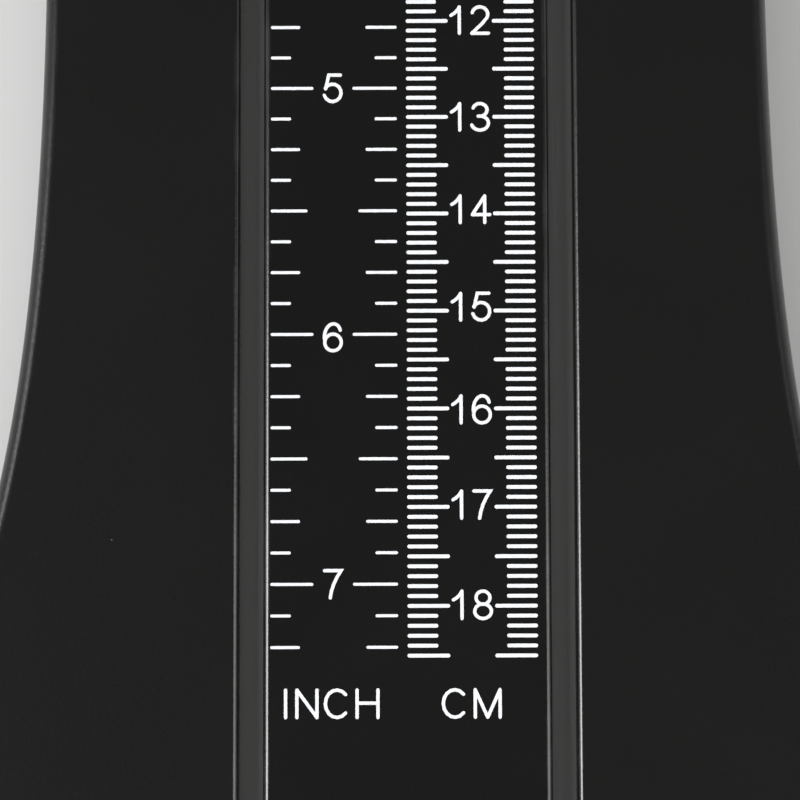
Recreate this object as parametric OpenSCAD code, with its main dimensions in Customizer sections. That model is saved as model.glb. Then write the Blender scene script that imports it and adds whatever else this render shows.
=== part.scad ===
// Foot gauge: a flat deck with a heel cup at one end, a printed ruler down the middle,
// and a toe slider that runs in two grooves beside the ruler.
// X is across the foot, +Y points to the heel, +Z is up. The feet stand on z = 0.

/* [Outline] */
// Overall length
gauge_l = 261; // [240:1:340]
// Width over the heel end
heel_w = 78; // [74:1:94]
// Width at the waist, the narrowest place
waist_w = 74.2; // [72:0.2:90]
// Greatest width, near the toe end
toe_w = 96.5; // [88:0.5:120]
// Distance from the heel stop to the waist
waist_at = 124; // [110:1:140]
// Distance from the toe tip back to the greatest width
widest_from_tip = 30; // [24:1:44]
// Reach of the flare's handle on its waist side
flare_waist_handle = 74; // [50:1:80]
// Reach of the flare's handle on its toe side
flare_toe_handle = 38; // [12:1:44]

/* [Scale] */
// Shortest foot that the ruler reads
scale_first = 65; // [60:5:80]
// Deck beyond the last mark of the ruler
toe_margin = 55; // [50:1:80]
// Width of the printed ruler plate
plate_w = 29.2; // [28.5:0.1:34]
// Thickness of the ruler plate
plate_t = 1.4; // [1.2:0.1:2]
// Thickness of the white ink
ink_t = 0.1; // [0.06:0.02:0.14]
// Width of a millimetre mark, along the ruler
mark_w = 0.38; // [0.2:0.02:0.5]
// Width of an inch mark, along the ruler
inch_mark_w = 0.3; // [0.2:0.02:0.5]
// Length of a millimetre mark
mm_mark_l = 3.1; // [1.5:0.1:4]
// Room for the figures between the two rows of centimetre marks
cm_figures_room = 4.55; // [4.4:0.05:6]
// Length of an eighth-inch mark
eighth_mark_l = 2.07; // [1:0.01:3]
// Length of a quarter-inch mark
quarter_mark_l = 3; // [2:0.1:4]
// Length of a half-inch mark
half_mark_l = 3.75; // [3:0.05:5]
// Room for the figures between the two rows of inch marks
inch_figures_room = 4; // [2.6:0.05:6]
// Height of the printed figures
figure_h = 3.1; // [2.4:0.05:5]
// Width of a round figure
figure_w = 2.1; // [1.8:0.05:2.2]
// Step from one figure to the next
figure_step = 2.37; // [2.25:0.01:2.4]
// Width of the pen stroke in figures and letters
stroke_w = 0.34; // [0.25:0.01:0.45]
// Plate's edge to the start of the inch marks
inch_edge_gap = 0.75; // [0.4:0.05:1.2]
// Plate's edge to the end of the centimetre marks
cm_edge_gap = 1.45; // [0.4:0.05:1.5]
// Gap between the inch marks and the centimetre marks
column_gap = 0.95; // [0.5:0.05:1.2]

/* [Body] */
// Height of the deck's top face
deck_z = 12; // [10.4:0.2:20]
// Thickness of the deck
deck_t = 2.4; // [1.8:0.1:3]
// Thickness of the top shell's side wall
shell_wall = 2.2; // [1.6:0.1:3]
// Radius of the top shell's outer top edge
edge_r = 1.6; // [0.6:0.1:2.2]
// Radius of the groove's top edges and the ruler's long edges
lip_r = 0.7; // [0.2:0.05:0.8]
// Width of each groove's mouth
groove_w = 2.4; // [2.4:0.1:3.4]
// Underside of the bottom tray above the ground
tray_z = 1.6; // [1.2:0.1:2]
// Thickness of the bottom tray
tray_t = 2.4; // [2.2:0.1:3.4]
// Setback of the tray's edge from the shell's edge
tray_setback = 0.25; // [0.1:0.05:0.5]
// Height of the tray's locating lip
lip_h = 2; // [1.2:0.1:2.4]
// Thickness of the tray's lip and ribs
rib_t = 1.6; // [1:0.1:2.4]
// Clearance between parts that are fitted together
fit_gap = 0.15; // [0.1:0.01:0.2]

/* [Guide rails] */
// Outer width of a channel rail
rail_w = 7; // [6.4:0.1:8]
// Thickness of a rail's floor
rail_floor = 1; // [0.6:0.1:1.6]
// Thickness of a rail's sides
rail_wall = 1; // [0.6:0.1:1.4]
// Clear height inside a rail
rail_clear = 1.6; // [1.5:0.1:2.4]
// Width of the spine's seat beyond a rail's outer side
seat_margin = 2; // [1.5:0.1:3]

/* [Heel cup] */
// Wall thickness of the heel cup
cup_wall = 3.3; // [2.2:0.1:5]
// Flat deck left outside the heel cup
cup_margin = 0.1; // [0.1:0.1:4]
// Height of the heel cup above the deck, at the back
cup_back_h = 33; // [24:1:45]
// Height of the heel cup's arms above the deck, at their ends
cup_arm_h = 11; // [8:1:18]
// Share of the heel-to-waist side that the arms run along
cup_arm_share = 0.2; // [0.15:0.01:0.24]
// Thickness of the heel cup's floor
cup_floor = 1.6; // [1.4:0.1:2.4]
// Length of the ramp at the front of the floor
cup_ramp = 5; // [3:0.5:8]
// Radius of the heel cup's bosses
cup_boss_r = 3; // [2.6:0.1:3.4]

/* [Slider] */
// Half width of the carriage
carriage_half_w = 31; // [28:0.5:33]
// Thickness of the carriage
carriage_t = 6; // [5:0.2:10]
// Height of the toe stop's wall above the deck
toe_wall_h = 36; // [26:1:50]
// Thickness of the toe stop's wall
toe_wall_t = 3.5; // [2.5:0.1:6]
// Half width of the toe stop's wall
toe_wall_half_w = 33; // [31:0.5:35]
// Radius of the toe stop's top corners
toe_corner_r = 14; // [6:1:20]
// Fillet between the toe stop's wall and the carriage
wall_fillet = 2.5; // [1:0.5:6]
// Gap between the slider and the deck
ride_gap = 0.4; // [0.3:0.05:0.6]
// Flat of the carriage between the fillet and the window
window_gap = 1; // [0.5:0.5:6]
// Length of the cursor window along the ruler
window_l = 18; // [12:1:30]
// Setback of the cursor window's sides from the ruler plate's edges
window_setback = 1.8; // [1.55:0.05:6]
// Rim of the lens that the window's shoulder covers
lens_rim = 1.2; // [0.6:0.1:1.3]
// Thickness of the cursor lens
lens_t = 1.8; // [1:0.1:3]
// Width of the red cursor line
hairline_w = 0.3; // [0.2:0.05:0.5]
// Flat of the carriage between the window and the thumb grip
thumb_gap = 1.8; // [1.6:0.1:6]
// Length of the thumb grip along the ruler
thumb_l = 8; // [6:0.5:20]
// Width of the thumb grip
thumb_w = 24; // [14:1:40]
// Carriage beyond the thumb grip
carriage_tail = 3.2; // [2:0.1:8]

/* [Guide shoes] */
// Running gap of a shoe in its rail and groove, on each side
slide_gap = 0.2; // [0.1:0.05:0.25]
// Carriage beyond each end of a shoe
shoe_inset = 4; // [2:0.5:8]
// Depth of the neck's seat in the carriage
shoe_seat = 1; // [0.8:0.1:1.4]
// Gap between a shoe and a stop
stop_gap = 0.3; // [0.2:0.05:0.5]
// Length of a stop block
stop_l = 6; // [3:0.5:8]

/* [Screws and feet] */
// Radius of a body screw's shank
screw_r = 1.15; // [1:0.05:1.3]
// Radius of a body screw's head
screw_head_r = 2.6; // [2.2:0.1:2.8]
// Height of a body screw's head
screw_head_h = 1.4; // [1.2:0.1:1.6]
// Radius of a shell boss
boss_r = 3.2; // [2.8:0.1:3.6]
// Radius of a tray pad under a boss
pad_r = 4.5; // [3.8:0.1:5]
// Height of a tray pad above the tray
pad_h = 1.2; // [1:0.1:1.6]
// Radius of a shoe screw's shank
shoe_screw_r = 0.7; // [0.5:0.05:0.8]
// Radius of a shoe screw's head
shoe_screw_head_r = 1.5; // [1.2:0.1:1.8]
// Height of a shoe screw's head
shoe_screw_head_h = 0.8; // [0.5:0.05:0.9]
// Radial clearance of a screw in its pilot hole
pilot_gap = 0.05; // [0.02:0.01:0.1]
// Radius of a rubber foot
foot_r = 7; // [5:0.5:8]
// Depth of a foot's recess in the tray
foot_recess = 0.8; // [0.5:0.1:1.2]

/* [Hidden] */
$fn = 48;

INCH = 25.4;
CM = 10;

// Colours
body_black = [0.11, 0.11, 0.115];
plate_black = [0.08, 0.085, 0.095];
rail_grey = [0.3, 0.3, 0.3];
rubber_black = [0.07, 0.07, 0.07];
ink_white = [0.95, 0.96, 0.98];
line_red = [0.85, 0.08, 0.07];
zinc = [0.72, 0.73, 0.75];
clear_lens = [0.85, 0.92, 0.95, 0.35];

// Lengthwise places. heel_to() turns a distance from the heel stop into Y.
heel_back = edge_r + cup_margin + cup_wall;
window_from = toe_wall_t + wall_fillet + window_gap;
window_to = window_from + window_l;
index_offset = window_from + window_l / 2;
scale_last = gauge_l - heel_back - index_offset - toe_margin;
function heel_to(s) = gauge_l / 2 - heel_back - s;
heel_end_y = gauge_l / 2;
toe_end_y = -gauge_l / 2;
thumb_from = window_to + thumb_gap;
carriage_l = thumb_from + thumb_l + carriage_tail;
shoe_l = carriage_l - 2 * shoe_inset;
slot_before_shoe = 9;
slot_past_shoe = 13;
spine_overrun = 3;
slot_from = scale_first + shoe_inset - slot_before_shoe;
slot_to = scale_last + shoe_inset + shoe_l + slot_past_shoe;

// Heights
shell_z = tray_z + tray_t;
deck_under_z = deck_z - deck_t;
plate_z = deck_z - plate_t;
rail_z = plate_z - rail_clear - rail_floor;
rail_floor_z = rail_z + rail_floor;
pad_z = shell_z + pad_h;
cup_floor_z = deck_z + cup_floor;
carriage_z = deck_z + ride_gap;
carriage_top_z = carriage_z + carriage_t;
lens_lift = 0.2;
lens_top_z = carriage_z + lens_lift + lens_t;

// Crosswise places
groove_x = plate_w / 2 + groove_w / 2;
slot_half_w = plate_w / 2 + groove_w;
rail_in_x = groove_x - rail_w / 2;
rail_out_x = groove_x + rail_w / 2;
spine_half_w = rail_out_x + seat_margin;
shoe_head_w = rail_w - 2 * rail_wall - 2 * slide_gap;
shoe_head_t = rail_clear - 2 * slide_gap;
shoe_neck_w = groove_w - 2 * slide_gap;
window_half_w = plate_w / 2 - window_setback;
lens_half_w = window_half_w + lens_rim;
seat_gap = fit_gap / 2;
tiny = 0.01;

// ---- Outline: four cubic curves down the right-hand side, heel centre to toe centre ----
quarter_round = 0.5523;
curve_steps = 12;
heel_flank_handle = 34;
waist_flank_handle = 36;
heel_r = heel_w / 2;
heel_side_y = heel_end_y - heel_r;
waist_y = heel_to(waist_at);
widest_y = toe_end_y + widest_from_tip;
side_curves = [
    [[0, heel_end_y], [heel_r * quarter_round, heel_end_y],
     [heel_r, heel_side_y + heel_r * quarter_round], [heel_r, heel_side_y]],
    [[heel_r, heel_side_y], [heel_r, heel_side_y - heel_flank_handle],
     [waist_w / 2, waist_y + waist_flank_handle], [waist_w / 2, waist_y]],
    [[waist_w / 2, waist_y], [waist_w / 2, waist_y - flare_waist_handle],
     [toe_w / 2, widest_y + flare_toe_handle], [toe_w / 2, widest_y]],
    [[toe_w / 2, widest_y], [toe_w / 2, widest_y - widest_from_tip * 0.6],
     [toe_w * 0.3, toe_end_y], [0, toe_end_y]]];

function curve_point(c, t) =
    pow(1 - t, 3) * c[0] + 3 * pow(1 - t, 2) * t * c[1]
    + 3 * (1 - t) * t * t * c[2] + pow(t, 3) * c[3];
function curve_heading(c, t) =
    pow(1 - t, 2) * (c[1] - c[0]) + 2 * (1 - t) * t * (c[2] - c[1]) + t * t * (c[3] - c[2]);
function unit(v) = v / norm(v);
function left_of(v) = [-v.y, v.x];
function inset_point(c, t, inset) = curve_point(c, t) - inset * left_of(unit(curve_heading(c, t)));

// The right-hand side moved inwards, heel centre first
function side(inset) = [
    for (c = side_curves) for (i = [0 : curve_steps - 1]) inset_point(c, i / curve_steps, inset),
    inset_point(side_curves[3], 1, inset)];
function mirrored(points) = [for (i = [len(points) - 1 : -1 : 0]) [-points[i].x, points[i].y]];
function middle(points) = [for (i = [1 : len(points) - 2]) points[i]];
function outline(inset) = concat(side(inset), mirrored(middle(side(inset))));

// A closed solid through rings of equal length, lowest ring first
module loft(rings) {
    count = len(rings[0]);
    points = [for (ring = rings) each ring];
    sides = [for (k = [0 : len(rings) - 2]) for (i = [0 : count - 1])
        let (a = k * count + i, b = k * count + (i + 1) % count)
        each [[a, b, b + count], [a, b + count, a + count]]];
    floor_face = [for (i = [count - 1 : -1 : 0]) i];
    top_face = [for (i = [0 : count - 1]) (len(rings) - 1) * count + i];
    polyhedron(points = points, faces = concat([floor_face], sides, [top_face]));
}

// A closed band: the last ring joins the first
module band(rings) {
    count = len(rings[0]);
    total = count * len(rings);
    points = [for (ring = rings) each ring];
    sides = [for (k = [0 : len(rings) - 1]) for (i = [0 : count - 1])
        let (a = k * count + i, b = k * count + (i + 1) % count, above = (b + count) % total)
        each [[a, b, above], [a, above, (a + count) % total]]];
    polyhedron(points = points, faces = sides);
}

function ring_at(inset, z) = [for (p = outline(inset)) [p.x, p.y, z]];

// A flat shape in X and Z, drawn out along Y
module along_y(from_y, to_y)
    translate([0, max(from_y, to_y), 0])
        rotate([90, 0, 0])
            linear_extrude(abs(to_y - from_y)) children();

// A flat shape in Y and Z, drawn out along X about the middle plane
module across_x(half_w)
    translate([-half_w, 0, 0])
        rotate([90, 0, 90])
            linear_extrude(2 * half_w) children();

module box(low, high) translate(low) cube(high - low);
module post(x, y, z_low, z_high, r) translate([x, y, z_low]) cylinder(h = z_high - z_low, r = r);
module both_sides() { children(); mirror([1, 0, 0]) children(); }

// ---- Places of screws and feet: [x, y] on the right-hand side ----
boss_gap = 1.25;
boss_from_slot = 4;
boss_past_waist = 20;
boss_inset = 12;
boss_before_widest = 8;
cup_boss_inset = 15;
cup_boss_setback = 2;
cup_back_boss_inset = 17;
foot_inset = 17;
foot_heel_lead = 15;
foot_toe_lead = 8;
boss_x = spine_half_w + pad_r + boss_gap;
boss_xy = [[boss_x, heel_to(slot_from + boss_from_slot)],
           [boss_x, heel_to(waist_at + boss_past_waist)],
           [toe_w / 2 - boss_inset, widest_y + boss_before_widest]];
cup_side_xy = [heel_r - cup_boss_inset, heel_side_y - cup_boss_setback];
cup_back_xy = [0, heel_end_y - cup_back_boss_inset];
foot_heel_xy = [heel_r - foot_inset, heel_side_y + foot_heel_lead];
foot_toe_xy = [toe_w / 2 - foot_inset, widest_y - foot_toe_lead];

module at_bosses() for (p = boss_xy) both_sides() translate([p.x, p.y, 0]) children();
module at_cup_bosses() {
    both_sides() translate([cup_side_xy.x, cup_side_xy.y, 0]) children();
    translate([cup_back_xy.x, cup_back_xy.y, 0]) children();
}
module at_feet() for (p = [foot_heel_xy, foot_toe_xy]) both_sides() translate([p.x, p.y, 0]) children();

// ---- Top shell ----
edge_steps = 5;
deck_inset = (edge_r + shell_wall) / 2;
function edge_rings() = [for (k = [0 : edge_steps]) let (a = 90 * k / edge_steps)
    ring_at(edge_r * (1 - cos(a)), deck_z - edge_r * (1 - sin(a)))];

// The long slot's section, which rounds the deck's edges along the grooves
lip_steps = 4;
function rounded_lip(x) = [for (k = [0 : lip_steps]) let (a = 90 * k / lip_steps)
    [x + lip_r * (1 - cos(a)), deck_z - lip_r * (1 - sin(a))]];
module slot_section() {
    right = concat([[slot_half_w, 0]], rounded_lip(slot_half_w), [[slot_half_w + lip_r, deck_z + 1]]);
    polygon(concat(right, [for (i = [len(right) - 1 : -1 : 0]) [-right[i].x, right[i].y]]));
}

module top_shell() color(body_black) {
    difference() {
        union() {
            band(concat([ring_at(shell_wall, deck_z), ring_at(shell_wall, deck_under_z),
                         ring_at(shell_wall, shell_z), ring_at(0, shell_z)], edge_rings()));
            translate([0, 0, deck_under_z]) linear_extrude(deck_t) polygon(outline(deck_inset));
            at_bosses() translate([0, 0, pad_z]) cylinder(h = plate_z - pad_z, r = boss_r);
        }
        at_bosses() cylinder(h = plate_z, r = screw_r + pilot_gap);
        at_cup_bosses() cylinder(h = deck_z + 1, r = cup_boss_r + fit_gap);
        along_y(heel_to(slot_to), heel_to(slot_from)) slot_section();
        box([-rail_out_x - fit_gap, heel_to(slot_to), shell_z - 1],
            [rail_out_x + fit_gap, heel_to(slot_from), plate_z]);
    }
}

// ---- Bottom tray ----
pocket_pitch = 22;
spine_from = slot_from - spine_overrun;
spine_to = slot_to + spine_overrun;
pocket_count = floor((spine_to - spine_from) / pocket_pitch);
pocket_l = (spine_to - spine_from - rib_t) / pocket_count - rib_t;
plateau_half_w = rail_in_x - fit_gap;
plateau_from = slot_from + fit_gap;
plateau_to = slot_to - fit_gap;
foot_ceiling_z = tray_z + foot_recess;
screw_sink = 0.4;
screw_head_gap = 0.4;
screw_hole_gap = 0.35;
screw_tip_gap = 0.8;
screw_head_z = tray_z + screw_sink;
screw_seat_z = screw_head_z + screw_head_h;

module spine_pockets() {
    for (k = [0 : pocket_count - 1]) {
        from_s = spine_from + rib_t + k * (pocket_l + rib_t);
        to_s = from_s + pocket_l;
        both_sides() {
            box([rib_t / 2, heel_to(to_s), tray_z - 1],
                [spine_half_w - rib_t, heel_to(from_s), rail_z - rib_t]);
            box([rib_t / 2, heel_to(min(to_s, plateau_to - rib_t)), tray_z - 1],
                [plateau_half_w - rib_t, heel_to(max(from_s, plateau_from + rib_t)), plate_z - rib_t]);
        }
    }
}

module bottom_tray() color(body_black) {
    difference() {
        union() {
            translate([0, 0, tray_z]) linear_extrude(tray_t) polygon(outline(tray_setback));
            difference() {
                translate([0, 0, shell_z - tiny])
                    linear_extrude(lip_h + tiny) polygon(outline(shell_wall + fit_gap));
                translate([0, 0, shell_z - 1])
                    linear_extrude(lip_h + 2) polygon(outline(shell_wall + fit_gap + rib_t));
            }
            box([-spine_half_w, heel_to(spine_to), tray_z],
                [spine_half_w, heel_to(spine_from), rail_z]);
            box([-plateau_half_w, heel_to(plateau_to), tray_z],
                [plateau_half_w, heel_to(plateau_from), plate_z]);
            at_bosses() translate([0, 0, tray_z]) cylinder(h = pad_z - tray_z, r = pad_r);
            at_cup_bosses() translate([0, 0, tray_z]) cylinder(h = pad_z - tray_z, r = pad_r);
        }
        spine_pockets();
        at_feet() cylinder(h = foot_ceiling_z, r = foot_r + fit_gap);
        at_bosses() screw_cut();
        at_cup_bosses() screw_cut();
    }
}

module screw_cut() {
    cylinder(h = screw_seat_z, r = screw_head_r + screw_head_gap);
    cylinder(h = pad_z + 1, r = screw_r + screw_hole_gap);
}

// ---- Ruler plate and its print ----
module plate_section() {
    half = plate_w / 2;
    top_right = [for (k = [lip_steps : -1 : 0]) let (a = 90 * k / lip_steps)
        [half - lip_r * (1 - cos(a)), deck_z - lip_r * (1 - sin(a))]];
    right = concat([[half, plate_z]], [for (i = [len(top_right) - 1 : -1 : 0]) top_right[i]]);
    polygon(concat(right, [for (i = [len(right) - 1 : -1 : 0]) [-right[i].x, right[i].y]]));
}

module scale_plate() color(plate_black)
    along_y(heel_to(slot_to) + fit_gap, heel_to(slot_from) - fit_gap) plate_section();

// Marks: a reading of r millimetres lies at r + index_offset from the heel stop
function mark_y(reading) = heel_to(reading + index_offset);
cm_left_x = 0;
cm_right_x = plate_w / 2 - cm_edge_gap;
inch_left_x = inch_edge_gap - plate_w / 2;
inch_right_x = -column_gap;
inch_right_extra = 0.2;
cm_mark_l = (cm_right_x - cm_left_x - cm_figures_room) / 2;
inch_mark_l = (inch_right_x - inch_left_x - inch_figures_room - inch_right_extra) / 2;
cm_figures_shift = 0.135;
cm_number_x = (cm_left_x + cm_right_x) / 2 - cm_figures_shift;
inch_number_x = (inch_left_x + inch_right_x - inch_right_extra) / 2;

module mark(from_x, to_x, reading, w)
    translate([from_x, mark_y(reading) - w / 2, deck_z]) cube([to_x - from_x, w, ink_t]);

function inch_length(eighths) =
    eighths % 8 == 0 ? inch_mark_l
    : eighths % 4 == 0 ? half_mark_l
    : eighths % 2 == 0 ? quarter_mark_l : eighth_mark_l;

module scale_ticks() color(ink_white) {
    for (mm = [scale_first : scale_last + tiny]) {
        length = mm % 5 == 0 ? cm_mark_l : mm_mark_l;
        mark(cm_left_x, cm_left_x + length, mm, mark_w);
        mark(cm_right_x - length, cm_right_x, mm, mark_w);
    }
    for (eighths = [ceil(scale_first * 8 / INCH) : floor(scale_last * 8 / INCH)]) {
        length = inch_length(eighths);
        reading = eighths * INCH / 8;
        mark(inch_left_x, inch_left_x + length, reading, inch_mark_w);
        mark(inch_right_x - length - inch_right_extra, inch_right_x, reading, inch_mark_w);
    }
}

// ---- Figures and letters: pen strokes in a unit box, drawn with a round pen ----
pen_w = figure_w - stroke_w;
pen_h = figure_h - stroke_w;
arc_steps = 12;
cap_steps = 4;
function arc(x, y, rx, ry, from, to) =
    [for (i = [0 : arc_steps]) let (a = from + (to - from) * i / arc_steps)
        [x + rx * cos(a), y + ry * sin(a)]];
function bend(a, b, c) =
    [for (i = [0 : 4]) let (t = i / 4) (1 - t) * (1 - t) * a + 2 * (1 - t) * t * b + t * t * c];
function turned(lines) = [for (line = lines) [for (p = line) [1 - p.x, 1 - p.y]]];

function six() = [
    concat(arc(0.53, 0.5, 0.53, 0.5, 188, 90), middle(arc(0.53, 0.73, 0.38, 0.27, 90, 5)), [[0.92, 0.76]])];

// Open strokes of each character
function strokes(c) =
    c == "1" ? [[[0.64, 0], [0.64, 1]], bend([0.64, 1], [0.5, 0.8], [0.15, 0.68])]
    : c == "2" ? [concat(arc(0.5, 0.72, 0.46, 0.28, 168, -25), [[0.62, 0.36], [0.3, 0.17], [0.02, 0]]),
                  [[0.02, 0], [1, 0]]]
    : c == "3" ? [arc(0.47, 0.76, 0.42, 0.24, 162, -80), arc(0.47, 0.265, 0.5, 0.265, 80, -164),
                  [[0.36, 0.525], [0.56, 0.525]]]
    : c == "4" ? [[[0.72, 1], [0, 0.3]], [[0, 0.3], [1.02, 0.3]], [[0.72, 1], [0.72, 0]]]
    : c == "5" ? [[[0.94, 1], [0.26, 1], [0.08, 0.48]], arc(0.48, 0.33, 0.5, 0.33, 148, -164)]
    : c == "6" ? six()
    : c == "7" ? [concat([[0, 1]], bend([0.95, 1], [0.42, 0.5], [0.33, 0]))]
    : c == "9" ? turned(six())
    : c == "I" ? [[[0, 0], [0, 1]]]
    : c == "N" ? [[[0, 0], [0, 1]], [[0, 1], [1, 0]], [[1, 0], [1, 1]]]
    : c == "C" ? [arc(0.5, 0.5, 0.5, 0.5, 42, 318)]
    : c == "H" ? [[[0, 0], [0, 1]], [[1, 0], [1, 1]], [[0, 0.52], [1, 0.52]]]
    : c == "M" ? [[[0, 0], [0, 1]], [[0, 1], [0.5, 0]], [[0.5, 0], [1, 1]], [[1, 1], [1, 0]]]
    : [];

// Closed loops of each character: centre and radii
function loops(c) =
    c == "0" ? [[0.5, 0.5, 0.5, 0.5]]
    : c == "6" ? [[0.5, 0.31, 0.48, 0.31]]
    : c == "8" ? [[0.5, 0.76, 0.4, 0.24], [0.5, 0.265, 0.48, 0.265]]
    : c == "9" ? [[0.5, 0.69, 0.48, 0.31]]
    : [];

function heading(v) = atan2(v.y, v.x);
function pen_side(p, i) =
    let (last = len(p) - 1, j = max(i, 1), k = min(i, last - 1),
         a = unit(p[j] - p[j - 1]), b = unit(p[k + 1] - p[k]))
    (left_of(a) + left_of(b)) / (1 + a * b);
function cap(p, from) =
    [for (i = [1 : cap_steps - 1]) let (a = from - 180 * i / cap_steps)
        p + stroke_w / 2 * [cos(a), sin(a)]];
function stroke_outline(p) =
    let (last = len(p) - 1, out = heading(p[last] - p[last - 1]), back = heading(p[0] - p[1]))
    concat([for (i = [0 : last]) p[i] + stroke_w / 2 * pen_side(p, i)], cap(p[last], out + 90),
           [for (i = [last : -1 : 0]) p[i] - stroke_w / 2 * pen_side(p, i)], cap(p[0], back + 90));
function ellipse(x, y, rx, ry) =
    [for (i = [0 : 2 * arc_steps - 1]) let (a = 180 * i / arc_steps) [x + rx * cos(a), y + ry * sin(a)]];

module character(c, x, y, w) {
    translate([x, y, deck_z]) linear_extrude(ink_t) {
        for (line = strokes(c)) polygon(stroke_outline([for (p = line) [p.x * w, p.y * pen_h]]));
        for (o = loops(c)) difference() {
            polygon(ellipse(o[0] * w, o[1] * pen_h, o[2] * w + stroke_w / 2, o[3] * pen_h + stroke_w / 2));
            polygon(ellipse(o[0] * w, o[1] * pen_h, o[2] * w - stroke_w / 2, o[3] * pen_h - stroke_w / 2));
        }
    }
}

// Numbers that are printed off their marks: [number, distance towards the heel]
cm_offsets = [[12, 0.08], [14, 0.43], [15, 0.4], [16, -0.1], [17, 0.22], [18, 0.1]];
inch_offsets = [[6, -0.3]];
function offset_of(value, offsets) = let (found = [for (o = offsets) if (o[0] == value) o[1]])
    len(found) > 0 ? found[0] : 0;

module number(value, x, reading, offsets) {
    figures = str(value);
    start_x = x - len(figures) * figure_step / 2 + (figure_step - pen_w) / 2;
    start_y = mark_y(reading) + offset_of(value, offsets) - pen_h / 2;
    for (i = [0 : len(figures) - 1])
        character(figures[i], start_x + i * figure_step, start_y, pen_w);
}

module scale_numerals() color(ink_white) {
    for (cm = [ceil(scale_first / CM) : floor(scale_last / CM)])
        number(cm, cm_number_x, cm * CM, cm_offsets);
    for (inch = [ceil(scale_first / INCH) : floor(scale_last / INCH)])
        number(inch, inch_number_x, inch * INCH, inch_offsets);
}

// Letters: [character, its strokes' left edge from the numbers' centre, width between strokes]
inch_letters = [["I", -4.8, 1], ["N", -3.66, 2.02], ["C", -0.8, 2.35], ["H", 2.4, 2.1]];
cm_letters = [["C", -2.87, 2.35], ["M", 0.35, 2.5]];
letters_past_scale = 4.8;
module word(letters, x) for (letter = letters)
    character(letter[0], x + letter[1], mark_y(scale_last + letters_past_scale) - pen_h / 2, letter[2]);
module unit_letters() color(ink_white) {
    word(inch_letters, inch_number_x);
    word(cm_letters, cm_number_x);
}

// ---- Guide rails: channels under the grooves ----
module guide_rail() {
    from_y = heel_to(slot_from) - fit_gap;
    to_y = heel_to(slot_to) + fit_gap;
    along_y(from_y, to_y) polygon([
        [rail_in_x, rail_z], [rail_out_x, rail_z], [rail_out_x, plate_z],
        [rail_out_x - rail_wall, plate_z], [rail_out_x - rail_wall, rail_floor_z],
        [rail_in_x + rail_wall, rail_floor_z], [rail_in_x + rail_wall, plate_z], [rail_in_x, plate_z]]);
}
module guide_rail_right() color(rail_grey) guide_rail();
module guide_rail_left() color(rail_grey) mirror([1, 0, 0]) guide_rail();

// Stops inside the rails
stop_half_w = rail_w / 2 - rail_wall - fit_gap;
module stop_block(near)
    box([groove_x - stop_half_w, heel_to(near + stop_l), rail_floor_z],
        [groove_x + stop_half_w, heel_to(near), plate_z - fit_gap]);
heel_stop_at = scale_first + shoe_inset - stop_gap - stop_l;
toe_stop_at = scale_last + shoe_inset + shoe_l + stop_gap;
module heel_stop_right() color(rubber_black) stop_block(heel_stop_at);
module heel_stop_left() color(rubber_black) mirror([1, 0, 0]) stop_block(heel_stop_at);
module toe_stop_right() color(rubber_black) stop_block(toe_stop_at);
module toe_stop_left() color(rubber_black) mirror([1, 0, 0]) stop_block(toe_stop_at);

// ---- Heel cup ----
cup_inset = edge_r + cup_margin;
cup_arm_steps = 4;
cup_ramp_lip = 0.4;
cup_floor_setback = 0.4;
function cup_side(inset) = concat(
    [for (i = [0 : curve_steps - 1]) inset_point(side_curves[0], i / curve_steps, inset)],
    [for (i = [0 : cup_arm_steps])
        inset_point(side_curves[1], cup_arm_share * i / cup_arm_steps, inset)]);
function cup_path(inset) = concat(mirrored(cup_side(inset)),
                                  [for (i = [1 : len(cup_side(inset)) - 1]) cup_side(inset)[i]]);
cup_end_y = curve_point(side_curves[1], cup_arm_share).y;
cup_floor_y = cup_end_y + cup_floor_setback;

// The wall's height falls from the back to the arm ends in a smooth sweep
function cup_top(y) =
    let (share = max(0, min(1, (heel_end_y - y) / (heel_end_y - cup_end_y))))
    deck_z + cup_arm_h + (cup_back_h - cup_arm_h) * (1 + cos(180 * share)) / 2;
cup_round_steps = 4;
function cup_section(i, outer, inner) =
    let (top = cup_top(outer[i].y) - cup_wall / 2, a = outer[i], b = inner[i], mid = (a + b) / 2)
    concat([[a.x, a.y, deck_z]],
           [for (k = [0 : cup_round_steps]) let (t = 180 * k / cup_round_steps,
                p = mid + (a - mid) * cos(t)) [p.x, p.y, top + cup_wall / 2 * sin(t)]],
           [[b.x, b.y, deck_z]]);

module cup_rim() {
    outer = cup_path(cup_inset);
    inner = cup_path(heel_back);
    loft([for (i = [len(outer) - 1 : -1 : 0]) cup_section(i, outer, inner)]);
}

module heel_cup() color(body_black) {
    difference() {
        union() {
            cup_rim();
            intersection() {
                translate([0, 0, deck_z])
                    linear_extrude(cup_floor) polygon(cup_path(cup_inset + cup_wall / 2));
                across_x(heel_w) polygon([
                    [cup_floor_y, deck_z - 1], [heel_end_y, deck_z - 1],
                    [heel_end_y, cup_floor_z + 1], [cup_floor_y + cup_ramp, cup_floor_z + 1],
                    [cup_floor_y + cup_ramp, cup_floor_z], [cup_floor_y, deck_z + cup_ramp_lip]]);
            }
            at_cup_bosses() translate([0, 0, pad_z]) cylinder(h = cup_floor_z - pad_z, r = cup_boss_r);
        }
        at_cup_bosses() cylinder(h = deck_z + cup_floor / 8, r = screw_r + pilot_gap);
    }
}

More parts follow.
